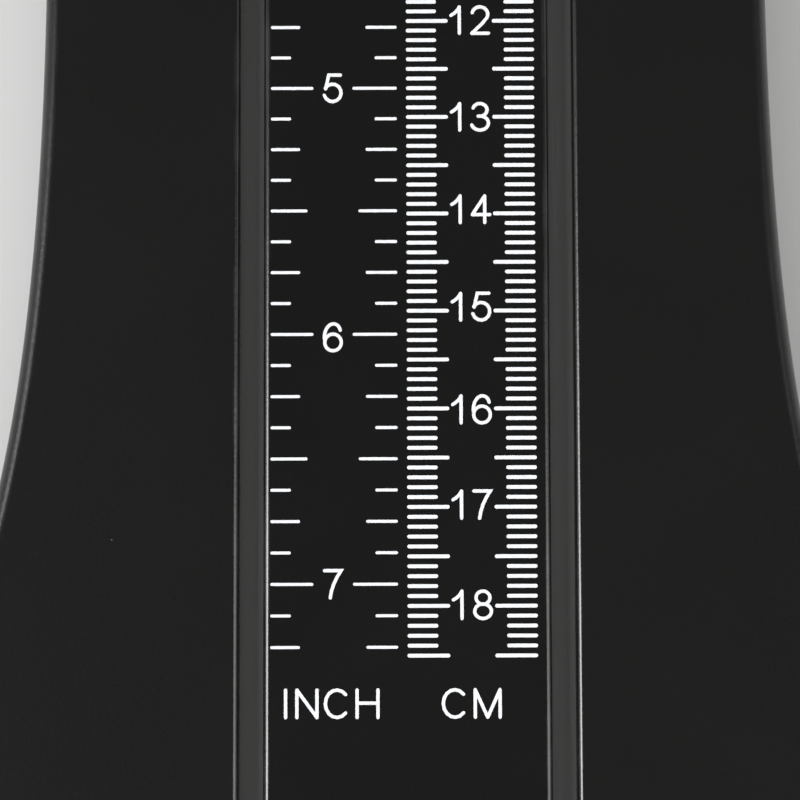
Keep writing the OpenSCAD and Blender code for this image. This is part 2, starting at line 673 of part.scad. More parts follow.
// ---- Screws ----
drive_w = 0.7;
module body_screw(tip_z) {
    difference() {
        translate([0, 0, screw_head_z]) cylinder(h = screw_head_h, r = screw_head_r);
        for (turn = [0, 90]) rotate([0, 0, turn])
            box([-screw_head_r * 0.6, -drive_w / 2, screw_head_z - 1],
                [screw_head_r * 0.6, drive_w / 2, screw_head_z + screw_head_h / 2]);
    }
    translate([0, 0, screw_seat_z - tiny]) cylinder(h = tip_z - screw_seat_z + tiny, r = screw_r);
}
module tray_screws() color(zinc) at_bosses() body_screw(plate_z - screw_tip_gap);
module heel_cup_screws() color(zinc) at_cup_bosses() body_screw(deck_z - screw_tip_gap);

// ---- Rubber feet ----
foot_chamfer = 0.5;
module rubber_foot(place) color(rubber_black)
    translate([place.x, place.y, 0]) {
        cylinder(h = foot_chamfer, r1 = foot_r - foot_chamfer, r2 = foot_r);
        translate([0, 0, foot_chamfer]) cylinder(h = foot_ceiling_z - foot_chamfer, r = foot_r);
    }
module foot_heel_right() rubber_foot(foot_heel_xy);
module foot_heel_left() mirror([1, 0, 0]) rubber_foot(foot_heel_xy);
module foot_toe_right() rubber_foot(foot_toe_xy);
module foot_toe_left() mirror([1, 0, 0]) rubber_foot(foot_toe_xy);

// ---- Slider, drawn at the ruler's first mark. slide_to() counts back from the toe face ----
function slide_to(u) = heel_to(scale_first + u);
tail_r = carriage_t / 2;
thumb_recess = 0.4;
shoe_screw_inset = 6;
shoe_screw_at = [shoe_inset + shoe_screw_inset, shoe_inset + shoe_l - shoe_screw_inset];
shoe_top_z = carriage_z + shoe_seat;

// Side profile of the carriage in Y and Z
function round_corner(u, z, r, from, to) =
    [for (i = [0 : 6]) let (a = from + (to - from) * i / 6) [slide_to(u + r * cos(a)), z + r * sin(a)]];
module carriage_profile() polygon(concat(
    [[slide_to(0), carriage_z]], [[slide_to(0), carriage_top_z + wall_fillet]],
    [[slide_to(toe_wall_t), carriage_top_z + wall_fillet]],
    round_corner(toe_wall_t + wall_fillet, carriage_top_z + wall_fillet, wall_fillet, 180, 270),
    round_corner(carriage_l - tail_r, carriage_top_z - tail_r, tail_r, 90, 0),
    [[slide_to(carriage_l), carriage_z]]));

// A rectangle with its four corners rounded
module soft_rectangle(low, high, r) {
    corners = [[high.x - r, high.y - r, 0], [low.x + r, high.y - r, 90],
               [low.x + r, low.y + r, 180], [high.x - r, low.y + r, 270]];
    polygon([for (c = corners) for (i = [0 : 8]) [c[0] + r * cos(c[2] + 90 * i / 8),
                                                  c[1] + r * sin(c[2] + 90 * i / 8)]]);
}

carriage_corner_r = 7;
module toe_wall() along_y(slide_to(toe_wall_t), slide_to(0))
    soft_rectangle([-toe_wall_half_w, carriage_z - toe_corner_r],
                   [toe_wall_half_w, deck_z + toe_wall_h], toe_corner_r);

gusset_x = 21;
gusset_t = 2.4;
gusset_l = 13;
gusset_h = 20;
gusset_root = 0.5;
module gusset() translate([gusset_x, 0, 0]) across_x(gusset_t / 2) polygon([
    [slide_to(toe_wall_t - gusset_root), carriage_top_z - gusset_root],
    [slide_to(toe_wall_t + gusset_l), carriage_top_z - gusset_root],
    [slide_to(toe_wall_t - gusset_root), carriage_top_z + gusset_h]]);

grip_count = 7;
grip_pitch = 3.2;
grip_r = 0.9;
grip_from_corner = 3;
grip_below_top = 1;
module side_grips() for (i = [0 : grip_count - 1])
    post(carriage_half_w, slide_to(carriage_l - carriage_corner_r - grip_from_corner - i * grip_pitch),
         carriage_z, carriage_top_z - grip_below_top, grip_r);

module slider_body() color(body_black) {
    difference() {
        union() {
            intersection() {
                across_x(carriage_half_w + 1) carriage_profile();
                translate([0, 0, carriage_z - 1]) linear_extrude(carriage_t + wall_fillet + 2)
                    soft_rectangle([-carriage_half_w, slide_to(carriage_l)],
                                   [carriage_half_w, slide_to(-carriage_corner_r)], carriage_corner_r);
            }
            intersection() {
                toe_wall();
                box([-toe_wall_half_w - 1, slide_to(toe_wall_t + 1), carriage_z],
                    [toe_wall_half_w + 1, slide_to(-1), deck_z + toe_wall_h + 1]);
            }
            both_sides() gusset();
            both_sides() side_grips();
        }
        box([-window_half_w, slide_to(window_to), carriage_z - 1],
            [window_half_w, slide_to(window_from), carriage_top_z + 1]);
        box([-lens_half_w - seat_gap, slide_to(window_to + lens_rim) - seat_gap, carriage_z - 1],
            [lens_half_w + seat_gap, slide_to(window_from - lens_rim) + seat_gap, lens_top_z]);
        both_sides() {
            box([groove_x - shoe_neck_w / 2 - seat_gap, slide_to(shoe_inset + shoe_l) - seat_gap,
                 carriage_z - 1],
                [groove_x + shoe_neck_w / 2 + seat_gap, slide_to(shoe_inset) + seat_gap, shoe_top_z]);
            for (u = shoe_screw_at)
                post(groove_x, slide_to(u), carriage_z, shoe_screw_tip_z + screw_sink,
                     shoe_screw_r + pilot_gap);
        }
        box([-thumb_w / 2, slide_to(thumb_from + thumb_l), carriage_top_z - thumb_recess],
            [thumb_w / 2, slide_to(thumb_from), carriage_top_z + 1]);
    }
}

module cursor_lens() color(clear_lens)
    box([-lens_half_w, slide_to(window_to + lens_rim), lens_top_z - lens_t],
        [lens_half_w, slide_to(window_from - lens_rim), lens_top_z]);

module cursor_hairline() color(line_red)
    box([-window_half_w, slide_to(index_offset + hairline_w / 2), lens_top_z - lens_t - ink_t],
        [window_half_w, slide_to(index_offset - hairline_w / 2), lens_top_z - lens_t]);

// ---- Guide shoes: T bars that hang from the carriage into the rails ----
shoe_head_z = rail_floor_z + slide_gap;
shoe_screw_play = 0.1;
shoe_screw_cover = 1.6;
shoe_screw_head_z = shoe_head_z + shoe_screw_play;
shoe_screw_seat_z = shoe_screw_head_z + shoe_screw_head_h;
shoe_screw_tip_z = carriage_top_z - shoe_screw_cover;
module shoe() {
    near_y = slide_to(shoe_inset);
    far_y = slide_to(shoe_inset + shoe_l);
    difference() {
        union() {
            box([groove_x - shoe_head_w / 2, far_y, shoe_head_z],
                [groove_x + shoe_head_w / 2, near_y, shoe_head_z + shoe_head_t]);
            box([groove_x - shoe_neck_w / 2, far_y, shoe_head_z],
                [groove_x + shoe_neck_w / 2, near_y, shoe_top_z]);
        }
        for (u = shoe_screw_at) {
            post(groove_x, slide_to(u), shoe_head_z - 1, shoe_screw_seat_z,
                 shoe_screw_head_r + shoe_screw_play);
            post(groove_x, slide_to(u), shoe_head_z - 1, shoe_top_z + 1, shoe_screw_r + shoe_screw_play);
        }
    }
}
module shoe_right() color(rubber_black) shoe();
module shoe_left() color(rubber_black) mirror([1, 0, 0]) shoe();
module shoe_screws() color(zinc) both_sides() for (u = shoe_screw_at) {
    post(groove_x, slide_to(u), shoe_screw_head_z, shoe_screw_seat_z, shoe_screw_head_r);
    post(groove_x, slide_to(u), shoe_screw_seat_z - tiny, shoe_screw_tip_z, shoe_screw_r);
}

// ---- Thumb grip: a rubber pad with ribs across it ----
thumb_rib_r = 0.7;
thumb_pad_t = 1;
thumb_rib_count = 4;
thumb_rib_setback = 1;
module thumb_grip() color(rubber_black) {
    low_z = carriage_top_z - thumb_recess;
    rib_end = thumb_w / 2 - thumb_rib_setback;
    box([seat_gap - thumb_w / 2, slide_to(thumb_from + thumb_l) + seat_gap, low_z],
        [thumb_w / 2 - seat_gap, slide_to(thumb_from) - seat_gap, low_z + thumb_pad_t]);
    for (i = [0 : thumb_rib_count - 1])
        translate([-rib_end, slide_to(thumb_from + thumb_l * (i + 0.5) / thumb_rib_count),
                   low_z + thumb_pad_t])
            rotate([0, 90, 0]) cylinder(h = 2 * rib_end, r = thumb_rib_r);
}

top_shell();
bottom_tray();
scale_plate();
scale_ticks();
scale_numerals();
unit_letters();
guide_rail_left();
guide_rail_right();
heel_cup();
tray_screws();
heel_cup_screws();
foot_heel_left();
foot_heel_right();
foot_toe_left();
foot_toe_right();
heel_stop_left();
heel_stop_right();
toe_stop_left();
toe_stop_right();
slider_body();
cursor_lens();
cursor_hairline();
shoe_left();
shoe_right();
shoe_screws();
thumb_grip();
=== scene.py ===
"""Looks for the foot gauge: a moulded deck, a printed ruler, a heel cup and a toe slider."""

import logging
import math
from collections.abc import Callable, Iterable, Sequence
from dataclasses import dataclass
from enum import Enum
from functools import cache

import bmesh
import bpy
from mathutils import Matrix, Vector


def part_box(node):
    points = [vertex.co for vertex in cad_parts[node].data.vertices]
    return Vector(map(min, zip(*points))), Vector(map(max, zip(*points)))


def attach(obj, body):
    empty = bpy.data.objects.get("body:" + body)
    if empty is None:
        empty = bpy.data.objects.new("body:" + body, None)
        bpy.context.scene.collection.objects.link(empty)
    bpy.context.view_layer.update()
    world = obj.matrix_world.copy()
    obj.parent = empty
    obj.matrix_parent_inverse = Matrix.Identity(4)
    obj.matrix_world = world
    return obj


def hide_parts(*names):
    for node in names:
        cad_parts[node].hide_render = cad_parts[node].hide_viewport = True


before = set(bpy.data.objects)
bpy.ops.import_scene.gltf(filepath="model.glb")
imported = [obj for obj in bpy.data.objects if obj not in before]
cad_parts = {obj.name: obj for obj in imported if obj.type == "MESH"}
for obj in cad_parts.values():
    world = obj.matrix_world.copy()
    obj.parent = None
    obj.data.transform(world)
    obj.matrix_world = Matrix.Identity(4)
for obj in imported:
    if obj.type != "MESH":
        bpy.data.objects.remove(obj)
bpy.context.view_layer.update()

MM = 0.001
TINY = 1e-5  # metres: two places closer than this are the same
WELD = TINY / 10  # metres: corners closer than this are merged
DIGITS = 5  # decimals of a metre that tell two rows apart
CREASE = math.radians(38)  # edges that turn more than this stay sharp
BORE_SIDES = 32
FOOT_SIDES = 64
RIB_SIDES = 24
WEAR = "edge_wear"

Colour = tuple[float, float, float]
Corner = tuple[float, float, float]
Socket = bpy.types.NodeSocket

log = logging.getLogger("foot_gauge")


class Body(Enum):
    """The two bodies of the frame."""

    GAUGE = "gauge_body"
    SLIDER = "toe_slider"


class Axis(Enum):
    """Directions that a flat section is drawn out along."""

    X = "x"
    Z = "z"


# ---- Sizes read from the frame ----


@dataclass(frozen=True)
class Box:
    """A box with its faces square to the axes, in metres."""

    low: Vector
    high: Vector

    @classmethod
    def of(cls, node: str) -> "Box":
        """Returns the box of a CAD node at rest."""
        return cls(*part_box(node))

    @classmethod
    def span(cls, low: Iterable[float], high: Iterable[float]) -> "Box":
        """Makes the box between two opposite corners."""
        return cls(Vector(low), Vector(high))

    @property
    def centre(self) -> Vector:
        """The middle of the box."""
        return (self.low + self.high) / 2

    @property
    def size(self) -> Vector:
        """Width, length and height."""
        return self.high - self.low

    def grown(self, x: float = 0.0, y: float = 0.0, z: float = 0.0) -> "Box":
        """Returns the box moved outwards by x, y and z on both sides."""
        margin = Vector((x, y, z))
        return Box(self.low - margin, self.high + margin)

    def holds(self, place: Vector) -> bool:
        """Says whether a place lies inside the box, seen from above."""
        return self.low.x < place.x < self.high.x and self.low.y < place.y < self.high.y


def solid_boxes(node: str) -> list[Box]:
    """Finds the box of each separate solid in a CAD node, on a merged copy of its mesh.

    Args:
        node: The CAD node's name.

    Returns:
        One box for each solid, from the heel to the toe.
    """
    bm = bmesh.new()
    bm.from_mesh(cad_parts[node].data)
    bmesh.ops.remove_doubles(bm, verts=bm.verts, dist=WELD)
    unseen = set(bm.verts)
    boxes = []
    while unseen:
        island = [unseen.pop()]
        for vert in island:
            for edge in vert.link_edges:
                other = edge.other_vert(vert)
                if other in unseen:
                    unseen.remove(other)
                    island.append(other)
        corners = [vert.co for vert in island]
        boxes.append(Box.span(map(min, zip(*corners)), map(max, zip(*corners))))
    bm.free()
    return sorted(boxes, key=lambda box: (-round(box.centre.y, DIGITS), box.centre.x))


# ---- Solids, shaped with bmesh operators ----


def linked(name: str, data: bpy.types.ID) -> bpy.types.Object:
    """Makes an object from its data and links it to the scene.

    Args:
        name: The object's name.
        data: The mesh, lamp or camera that it shows.

    Returns:
        The new object.
    """
    thing = bpy.data.objects.new(name, data)
    bpy.context.scene.collection.objects.link(thing)
    return thing


class Solid:
    """A closed mesh under construction, in metres."""

    def __init__(self) -> None:
        """Starts from nothing."""
        self.bm = bmesh.new()
        self.wear = self.wear_layer()

    def wear_layer(self) -> bmesh.types.BMLayerItem:
        """Finds or adds the layer that says how smooth handling has left each face."""
        layers = self.bm.faces.layers.float
        return layers.get(WEAR) or layers.new(WEAR)

    @classmethod
    def block(cls, *boxes: Box) -> "Solid":
        """Makes a block that fills each box.

        Args:
            boxes: The boxes to fill.

        Returns:
            One solid that holds every block.
        """
        solid = cls()
        for box in boxes:
            place = Matrix.Translation(box.centre) @ Matrix.Diagonal((*box.size, 1))
            bmesh.ops.create_cube(solid.bm, size=1, matrix=place)
        return solid

    @classmethod
    def rod(cls, radius: float, length: float, place: Matrix, sides: int) -> "Solid":
        """Makes a round rod about the middle of a place, along its Z.

        Args:
            radius: Its radius.
            length: Its whole length.
            place: Where its middle is, with Z along it.
            sides: How many flat faces go round it.

        Returns:
            The rod.
        """
        solid = cls()
        bmesh.ops.create_cone(solid.bm, cap_ends=True, segments=sides, radius1=radius,
                              radius2=radius, depth=length, matrix=place)
        return solid

    @classmethod
    def posts(cls, places: Iterable[Vector], z_low: float, z_high: float, radius: float,
              sides: int = 48) -> list["Solid"]:
        """Makes an upright round post at each place.

        Args:
            places: Where the posts stand; only x and y count.
            z_low: Where they start.
            z_high: Where they end.
            radius: Their radius.
            sides: How many flat faces go round each.

        Returns:
            One post for each place.
        """
        length, middle = z_high - z_low, (z_low + z_high) / 2
        return [cls.rod(radius, length, Matrix.Translation((place.x, place.y, middle)), sides)
                for place in places]

    @classmethod
    def drawn(cls, outline: Sequence[tuple[float, float]], axis: Axis, low: float,
              high: float) -> "Solid":
        """Draws a flat outline out into a solid.

        Args:
            outline: Its corners: (y, z) along X, or (x, y) along Z.
            axis: The direction that it is drawn out along.
            low: Where the solid starts on that axis.
            high: Where the solid ends.

        Returns:
            The closed solid.
        """
        solid = cls()
        if axis is Axis.X:
            corners = [(low, a, b) for a, b in outline]
            way = (high - low, 0, 0)
        else:
            corners = [(a, b, low) for a, b in outline]
            way = (0, 0, high - low)
        face = solid.bm.faces.new([solid.bm.verts.new(corner) for corner in corners])
        drawn = bmesh.ops.extrude_face_region(solid.bm, geom=[face], use_keep_orig=True)
        verts = [item for item in drawn["geom"] if isinstance(item, bmesh.types.BMVert)]
        bmesh.ops.translate(solid.bm, verts=verts, vec=way)
        return solid.outwards()

    @classmethod
    def turned(cls, profile: Sequence[tuple[float, float]], x: float, y: float,
               steps: int) -> "Solid":
        """Turns a profile of (radius, z) points about an upright axis at x, y.

        Args:
            profile: The (radius, z) points, from end to end.
            x: Where the axis stands across the gauge.
            y: Where it stands along the gauge.
            steps: How many steps the full turn takes.

        Returns:
            The closed solid.
        """
        solid = cls()
        verts = [solid.bm.verts.new((radius, 0, z)) for radius, z in profile]
        edges = [solid.bm.edges.new(pair) for pair in zip(verts, verts[1:])]
        bmesh.ops.spin(solid.bm, geom=verts + edges, axis=(0, 0, 1), cent=(0, 0, 0),
                       angle=math.tau, steps=steps, use_merge=True)
        bmesh.ops.remove_doubles(solid.bm, verts=solid.bm.verts, dist=WELD)
        bmesh.ops.translate(solid.bm, verts=solid.bm.verts, vec=(x, y, 0))
        return solid.outwards()

    def outwards(self) -> "Solid":
        """Turns every face outwards."""
        bmesh.ops.recalc_face_normals(self.bm, faces=self.bm.faces)
        return self

    @classmethod
    def group(cls, others: Iterable["Solid"]) -> "Solid":
        """Takes several solids that don't touch as one.

        Args:
            others: The solids, which are used up.

        Returns:
            The one solid.
        """
        solid = cls()
        for other in others:
            mesh = other.mesh("member")
            solid.bm.from_mesh(mesh)
            bpy.data.meshes.remove(mesh)
            other.bm.free()
        return solid

    def combined(self, operation: str, others: Iterable["Solid"]) -> "Solid":
        """Runs an exact boolean between this solid and each of the others in turn.

        Args:
            operation: UNION, DIFFERENCE or INTERSECT.
            others: The other solids, which stay as they are.

        Returns:
            The same solid.
        """
        base = linked("base", self.mesh("base"))
        tools = []
        for other in others:
            tools.append(linked("tool", other.mesh("tool")))
            step = base.modifiers.new("step", "BOOLEAN")
            step.operation = operation
            step.solver = "EXACT"
            step.object = tools[-1]
        graph = bpy.context.evaluated_depsgraph_get()
        result = bpy.data.meshes.new_from_object(base.evaluated_get(graph))
        self.bm.clear()
        self.bm.from_mesh(result)
        self.wear = self.wear_layer()
        for leftover in (base, *tools):
            mesh = leftover.data
            bpy.data.objects.remove(leftover)
            bpy.data.meshes.remove(mesh)
        bpy.data.meshes.remove(result)
        bmesh.ops.remove_doubles(self.bm, verts=self.bm.verts, dist=2 * WELD)
        return self

    def plus(self, *others: "Solid") -> "Solid":
        """Fuses other solids to this one."""
        return self.combined("UNION", others)

    def minus(self, *others: "Solid") -> "Solid":
        """Cuts other solids out of this one."""
        return self.combined("DIFFERENCE", others)

    def within(self, other: "Solid") -> "Solid":
        """Keeps only what lies inside the other solid."""
        return self.combined("INTERSECT", [other])

    def round_edges(self, radius: float, where: Callable[[Vector, Vector], bool] | None = None,
                    segments: int = 4, sharper_than: float = 30.0, worn: float = 1.0) -> "Solid":
        """Rounds the edges where two faces meet at an angle.

        Args:
            radius: The rounding's radius.
            where: Takes an edge's two ends and says whether to round it.
            segments: Steps across the rounding.
            sharper_than: The least angle between the faces, in degrees.
            worn: How smooth handling has left the rounding, from 0 to 1.

        Returns:
            The same solid.
        """
        least = math.radians(sharper_than)
        edges = [edge for edge in self.bm.edges
                 if len(edge.link_faces) == 2 and edge.calc_face_angle() > least
                 and (where is None or where(edge.verts[0].co, edge.verts[1].co))]
        rounded = bmesh.ops.bevel(self.bm, geom=edges, offset=radius, offset_type="OFFSET",
                                  segments=segments, profile=0.5, affect="EDGES",
                                  clamp_overlap=True, material=-1)
        for face in rounded["faces"]:
            face[self.wear] = worn
        return self

    def crossed(self, places: Iterable[float]) -> "Solid":
        """Rings the solid with edges at each y, so that the shading of long faces stays even.

        Args:
            places: Each ring's y.

        Returns:
            The same solid.
        """
        for y in places:
            bmesh.ops.bisect_plane(self.bm, geom=[*self.bm.verts, *self.bm.edges, *self.bm.faces],
                                   plane_co=(0, y, 0), plane_no=(0, 1, 0))
        return self

    def mesh(self, name: str) -> bpy.types.Mesh:
        """Writes the solid to a new mesh with smooth faces and marked sharp edges.

        Args:
            name: The mesh's name.

        Returns:
            The new mesh.
        """
        for face in self.bm.faces:
            face.smooth = True
        for edge in self.bm.edges:
            edge.smooth = len(edge.link_faces) == 2 and edge.calc_face_angle() < CREASE
        mesh = bpy.data.meshes.new(name)
        self.bm.to_mesh(mesh)
        return mesh


# ---- Node groups that several finishes share ----


class Net:
    """Adds nodes to a shader tree and wires them."""

    def __init__(self, tree: bpy.types.NodeTree) -> None:
        """Works on one node tree."""
        self.tree = tree

    def add(self, kind: str, inputs: dict | None = None, **settings: object) -> bpy.types.Node:
        """Adds a node.

        Args:
            kind: The node's type name, without its ShaderNode prefix.
            inputs: A value or an output socket for each named or numbered input.
            settings: Properties to set on the node.

        Returns:
            The new node.
        """
        node = self.tree.nodes.new("ShaderNode" + kind)
        for key, value in settings.items():
            setattr(node, key, value)
        for key, value in (inputs or {}).items():
            if isinstance(value, Socket):
                self.tree.links.new(value, node.inputs[key])
            else:
                node.inputs[key].default_value = value
        return node

    def math(self, operation: str, a: object, b: object, clamp: bool = False) -> Socket:
        """Adds a Math node and returns its output."""
        return self.add("Math", {0: a, 1: b}, operation=operation, use_clamp=clamp).outputs[0]

    def times(self, a: object, b: object) -> Socket:
        """Multiplies two values."""
        return self.math("MULTIPLY", a, b)

    def sum(self, a: object, b: object) -> Socket:
        """Adds two values."""
        return self.math("ADD", a, b)

    def minus(self, a: object, b: object, clamp: bool = False) -> Socket:
        """Takes the second value from the first."""
        return self.math("SUBTRACT", a, b, clamp)

    def ramp(self, value: Socket, low: float, high: float) -> Socket:
        """Maps value from low..high to 0..1, smoothly and clamped."""
        return self.add("MapRange", {"Value": value, "From Min": low, "From Max": high},
                        interpolation_type="SMOOTHSTEP").outputs["Result"]

    def noise(self, place: Socket, scale: object, detail: float = 3.0,
              roughness: float = 0.55) -> Socket:
        """Adds a Noise texture and returns its value."""
        return self.add("TexNoise", {"Vector": place, "Scale": scale, "Detail": detail,
                                     "Roughness": roughness}).outputs[0]

    def mix(self, share: object, a: object, b: object) -> Socket:
        """Mixes two colours, each a socket or three numbers, and returns the result."""
        a, b = ((*side, 1) if isinstance(side, tuple) else side for side in (a, b))
        return self.add("Mix", {0: share, 6: a, 7: b}, data_type="RGBA").outputs[2]

    def bump(self, height: Socket, strength: float, distance: float) -> Socket:
        """Turns a height into a normal."""
        return self.add("Bump", {"Height": height, "Strength": strength,
                                 "Distance": distance}).outputs[0]

    def group(self, tree: bpy.types.NodeTree, **inputs: object) -> dict[str, Socket]:
        """Places a node group, feeds its inputs and returns its outputs by name."""
        return dict(self.add("Group", inputs, node_tree=tree).outputs.items())

    def feed(self, node: bpy.types.Node, **sources: Socket) -> None:
        """Links a source to each input, named with _ for each space."""
        for key, source in sources.items():
            self.tree.links.new(source, node.inputs[key.replace("_", " ")])


def new_group(name: str, inputs: dict[str, str],
              outputs: dict[str, str]) -> tuple[Net, dict[str, Socket], bpy.types.Node]:
    """Makes an empty node group with named sockets.

    Args:
        name: The group's name.
        inputs: The input sockets and their types, Float, Vector or Color.
        outputs: The output sockets and their types.

    Returns:
        The group's net, its input sockets by name, and the node that its outputs are fed to.
    """
    tree = bpy.data.node_groups.new(name, "ShaderNodeTree")
    for label, kind in inputs.items():
        tree.interface.new_socket(label, in_out="INPUT", socket_type="NodeSocket" + kind)
    for label, kind in outputs.items():
        tree.interface.new_socket(label, in_out="OUTPUT", socket_type="NodeSocket" + kind)
    entry = tree.nodes.new("NodeGroupInput")
    return Net(tree), dict(entry.outputs.items()), tree.nodes.new("NodeGroupOutput")


@cache
def moulded_grain() -> bpy.types.NodeTree:
    """Fine pits that a spark-eroded mould leaves, with a slower wave under them.

    Returns:
        The group, with Place and Grain in, and Height and Gloss out.
    """
    net, given, leave = new_group("moulded_grain", {"Place": "Vector", "Grain": "Float"},
                                  {"Height": "Float", "Gloss": "Float"})
    wave_scale, wave_height = 45.0, 0.5
    strong, weak = 0.6, 0.4
    fine = net.noise(given["Place"], given["Grain"], detail=4.0)
    cells = net.add("TexVoronoi", {"Vector": given["Place"], "Scale": given["Grain"]},
                    feature="SMOOTH_F1").outputs["Distance"]
    slow = net.noise(given["Place"], wave_scale, detail=2.0)
    pits = net.sum(net.times(fine, strong), net.times(cells, weak))
    net.feed(leave, Height=net.sum(pits, net.times(slow, wave_height)),
             Gloss=net.sum(net.times(slow, strong), net.times(fine, weak)))
    return net.tree


@cache
def dust_specks() -> bpy.types.NodeTree:
    """A few pale specks of dust, far apart, each of its own size.

    Returns:
        The group, with Place and Spacing in, and Mask out.
    """
    net, given, leave = new_group("dust_specks", {"Place": "Vector", "Spacing": "Float"},
                                  {"Mask": "Float"})
    largest, clean_share = 0.012, 0.45
    cells = net.add("TexVoronoi", {"Vector": given["Place"], "Scale": given["Spacing"]},
                    feature="F1").outputs
    chance = net.add("SeparateColor", {0: cells["Color"]}).outputs
    near = net.math("LESS_THAN", cells["Distance"], net.times(chance[0], largest))
    some = net.math("GREATER_THAN", chance[1], clean_share)
    net.feed(leave, Mask=net.times(near, some))
    return net.tree


@cache
def edge_rub() -> bpy.types.NodeTree:
    """Rounded edges, marked face by face in the meshes: smoother all along, rubbed in patches.

    Returns:
        The group, with Place in, and Smooth and Rubbed out.
    """
    net, given, leave = new_group("edge_rub", {"Place": "Vector"},
                                  {"Smooth": "Float", "Rubbed": "Float"})
    patch_scale, least_smooth = 130.0, 0.85
    marked = net.add("Attribute", attribute_name=WEAR).outputs["Fac"]
    patches = net.ramp(net.noise(given["Place"], patch_scale, detail=5.0), low=0.46, high=0.66)
    uneven = net.sum(net.times(patches, 1 - least_smooth), least_smooth)
    net.feed(leave, Smooth=net.times(marked, uneven), Rubbed=net.times(marked, patches))
    return net.tree


@cache
def slide_marks() -> bpy.types.NodeTree:
    """Fine scuffs that run along the ruler, as a sliding shoe or a cloth leaves.

    Returns:
        The group, with Place and Fineness in, and Mask out.
    """
    net, given, leave = new_group("slide_marks", {"Place": "Vector", "Fineness": "Float"},
                                  {"Mask": "Float"})
    along_slide, patch_scale = (1.0, 0.02, 1.0), 30.0
    drawn = net.add("Mapping", {"Vector": given["Place"], "Scale": along_slide}).outputs[0]
    lines = net.noise(drawn, given["Fineness"], detail=2.0, roughness=0.7)
    patches = net.ramp(net.noise(given["Place"], patch_scale, detail=2.0), low=0.4, high=0.7)
    net.feed(leave, Mask=net.times(net.ramp(lines, low=0.56, high=0.74), patches))
    return net.tree


# ---- Finishes ----


def shaded(colour: Colour, share: float) -> Colour:
    """Gives a share of a colour."""
    return tuple(share * part for part in colour)


def new_shader(name: str, **constants: object) -> tuple[Net, bpy.types.Node, Socket,
                                                        bpy.types.Material]:
    """Starts a material.

    Args:
        name: The material's name.
        constants: Values for the Principled shader's sockets, with _ for each space.

    Returns:
        Its net, its Principled node, the Object coordinates and the material.
    """
    material = bpy.data.materials.new(name)
    material.use_nodes = True
    net = Net(material.node_tree)
    shader = material.node_tree.nodes["Principled BSDF"]
    for key, value in constants.items():
        shader.inputs[key.replace("_", " ")].default_value = value
    place = net.add("TexCoord").outputs["Object"]
    return net, shader, place, material


@dataclass(frozen=True)
class Moulding:
    """A moulded plastic or rubber skin: colour, gloss and a fine grain."""

    name: str
    colour: Colour
    worn: Colour
    roughness: float
    gloss_spread: float
    grain: float
    relief: float
    specular: float = 0.5
    edge_polish: float = 0.12
    edge_gloss: float = 0.3
    dust_spacing: float = 55.0
    dust_colour: Colour = (0.32, 0.31, 0.29)
    dust_share: float = 0.35
    rub_share: float = 0.4
    dark_share: float = 0.86
    mean_gloss: float = 0.5
    coat_roughness: float = 0.2
    bump_strength: float = 0.6

    def material(self) -> bpy.types.Material:
        """Builds the material, with mottling, edge wear and a little dust.

        Returns:
            The new material.
        """
        net, shader, place, material = new_shader(self.name, Specular_IOR_Level=self.specular,
                                                  Coat_Roughness=self.coat_roughness)
        grain = net.group(moulded_grain(), Place=place, Grain=self.grain)
        rub = net.group(edge_rub(), Place=place)
        dust = net.group(dust_specks(), Place=place, Spacing=self.dust_spacing)["Mask"]
        base = net.mix(grain["Gloss"], shaded(self.colour, self.dark_share), self.colour)
        worn = net.mix(net.times(rub["Rubbed"], self.rub_share), base, self.worn)
        dusty = net.mix(net.times(dust, self.dust_share), worn, self.dust_colour)
        spread = net.times(net.minus(grain["Gloss"], self.mean_gloss), self.gloss_spread)
        rough = net.sum(spread, self.roughness)
        smooth = net.minus(rough, net.times(rub["Smooth"], self.edge_polish), clamp=True)
        net.feed(shader, Base_Color=dusty, Roughness=smooth,
                 Coat_Weight=net.times(rub["Smooth"], self.edge_gloss),
                 Normal=net.bump(grain["Height"], self.bump_strength, self.relief))
        return material


@dataclass(frozen=True)
class Ink:
    """Screen-printed ink, with a faint mesh and thin spots."""

    name: str
    colour: Colour
    roughness: float
    specular: float = 0.35
    mesh_grain: float = 6000.0
    spot_scale: float = 1500.0
    faded_share: float = 0.9
    gloss_spread: float = 0.15

    def material(self) -> bpy.types.Material:
        """Builds the material.

        Returns:
            The new material.
        """
        net, shader, place, material = new_shader(self.name, Specular_IOR_Level=self.specular)
        thin = net.ramp(net.noise(place, self.spot_scale, detail=3.0), low=0.3, high=0.75)
        grain = net.group(moulded_grain(), Place=place, Grain=self.mesh_grain)
        faded = shaded(self.colour, self.faded_share)
        net.feed(shader, Base_Color=net.mix(thin, faded, self.colour),
                 Roughness=net.sum(net.times(grain["Gloss"], self.gloss_spread), self.roughness),
                 Normal=net.bump(grain["Height"], strength=0.4, distance=0.01 * MM))
        return material


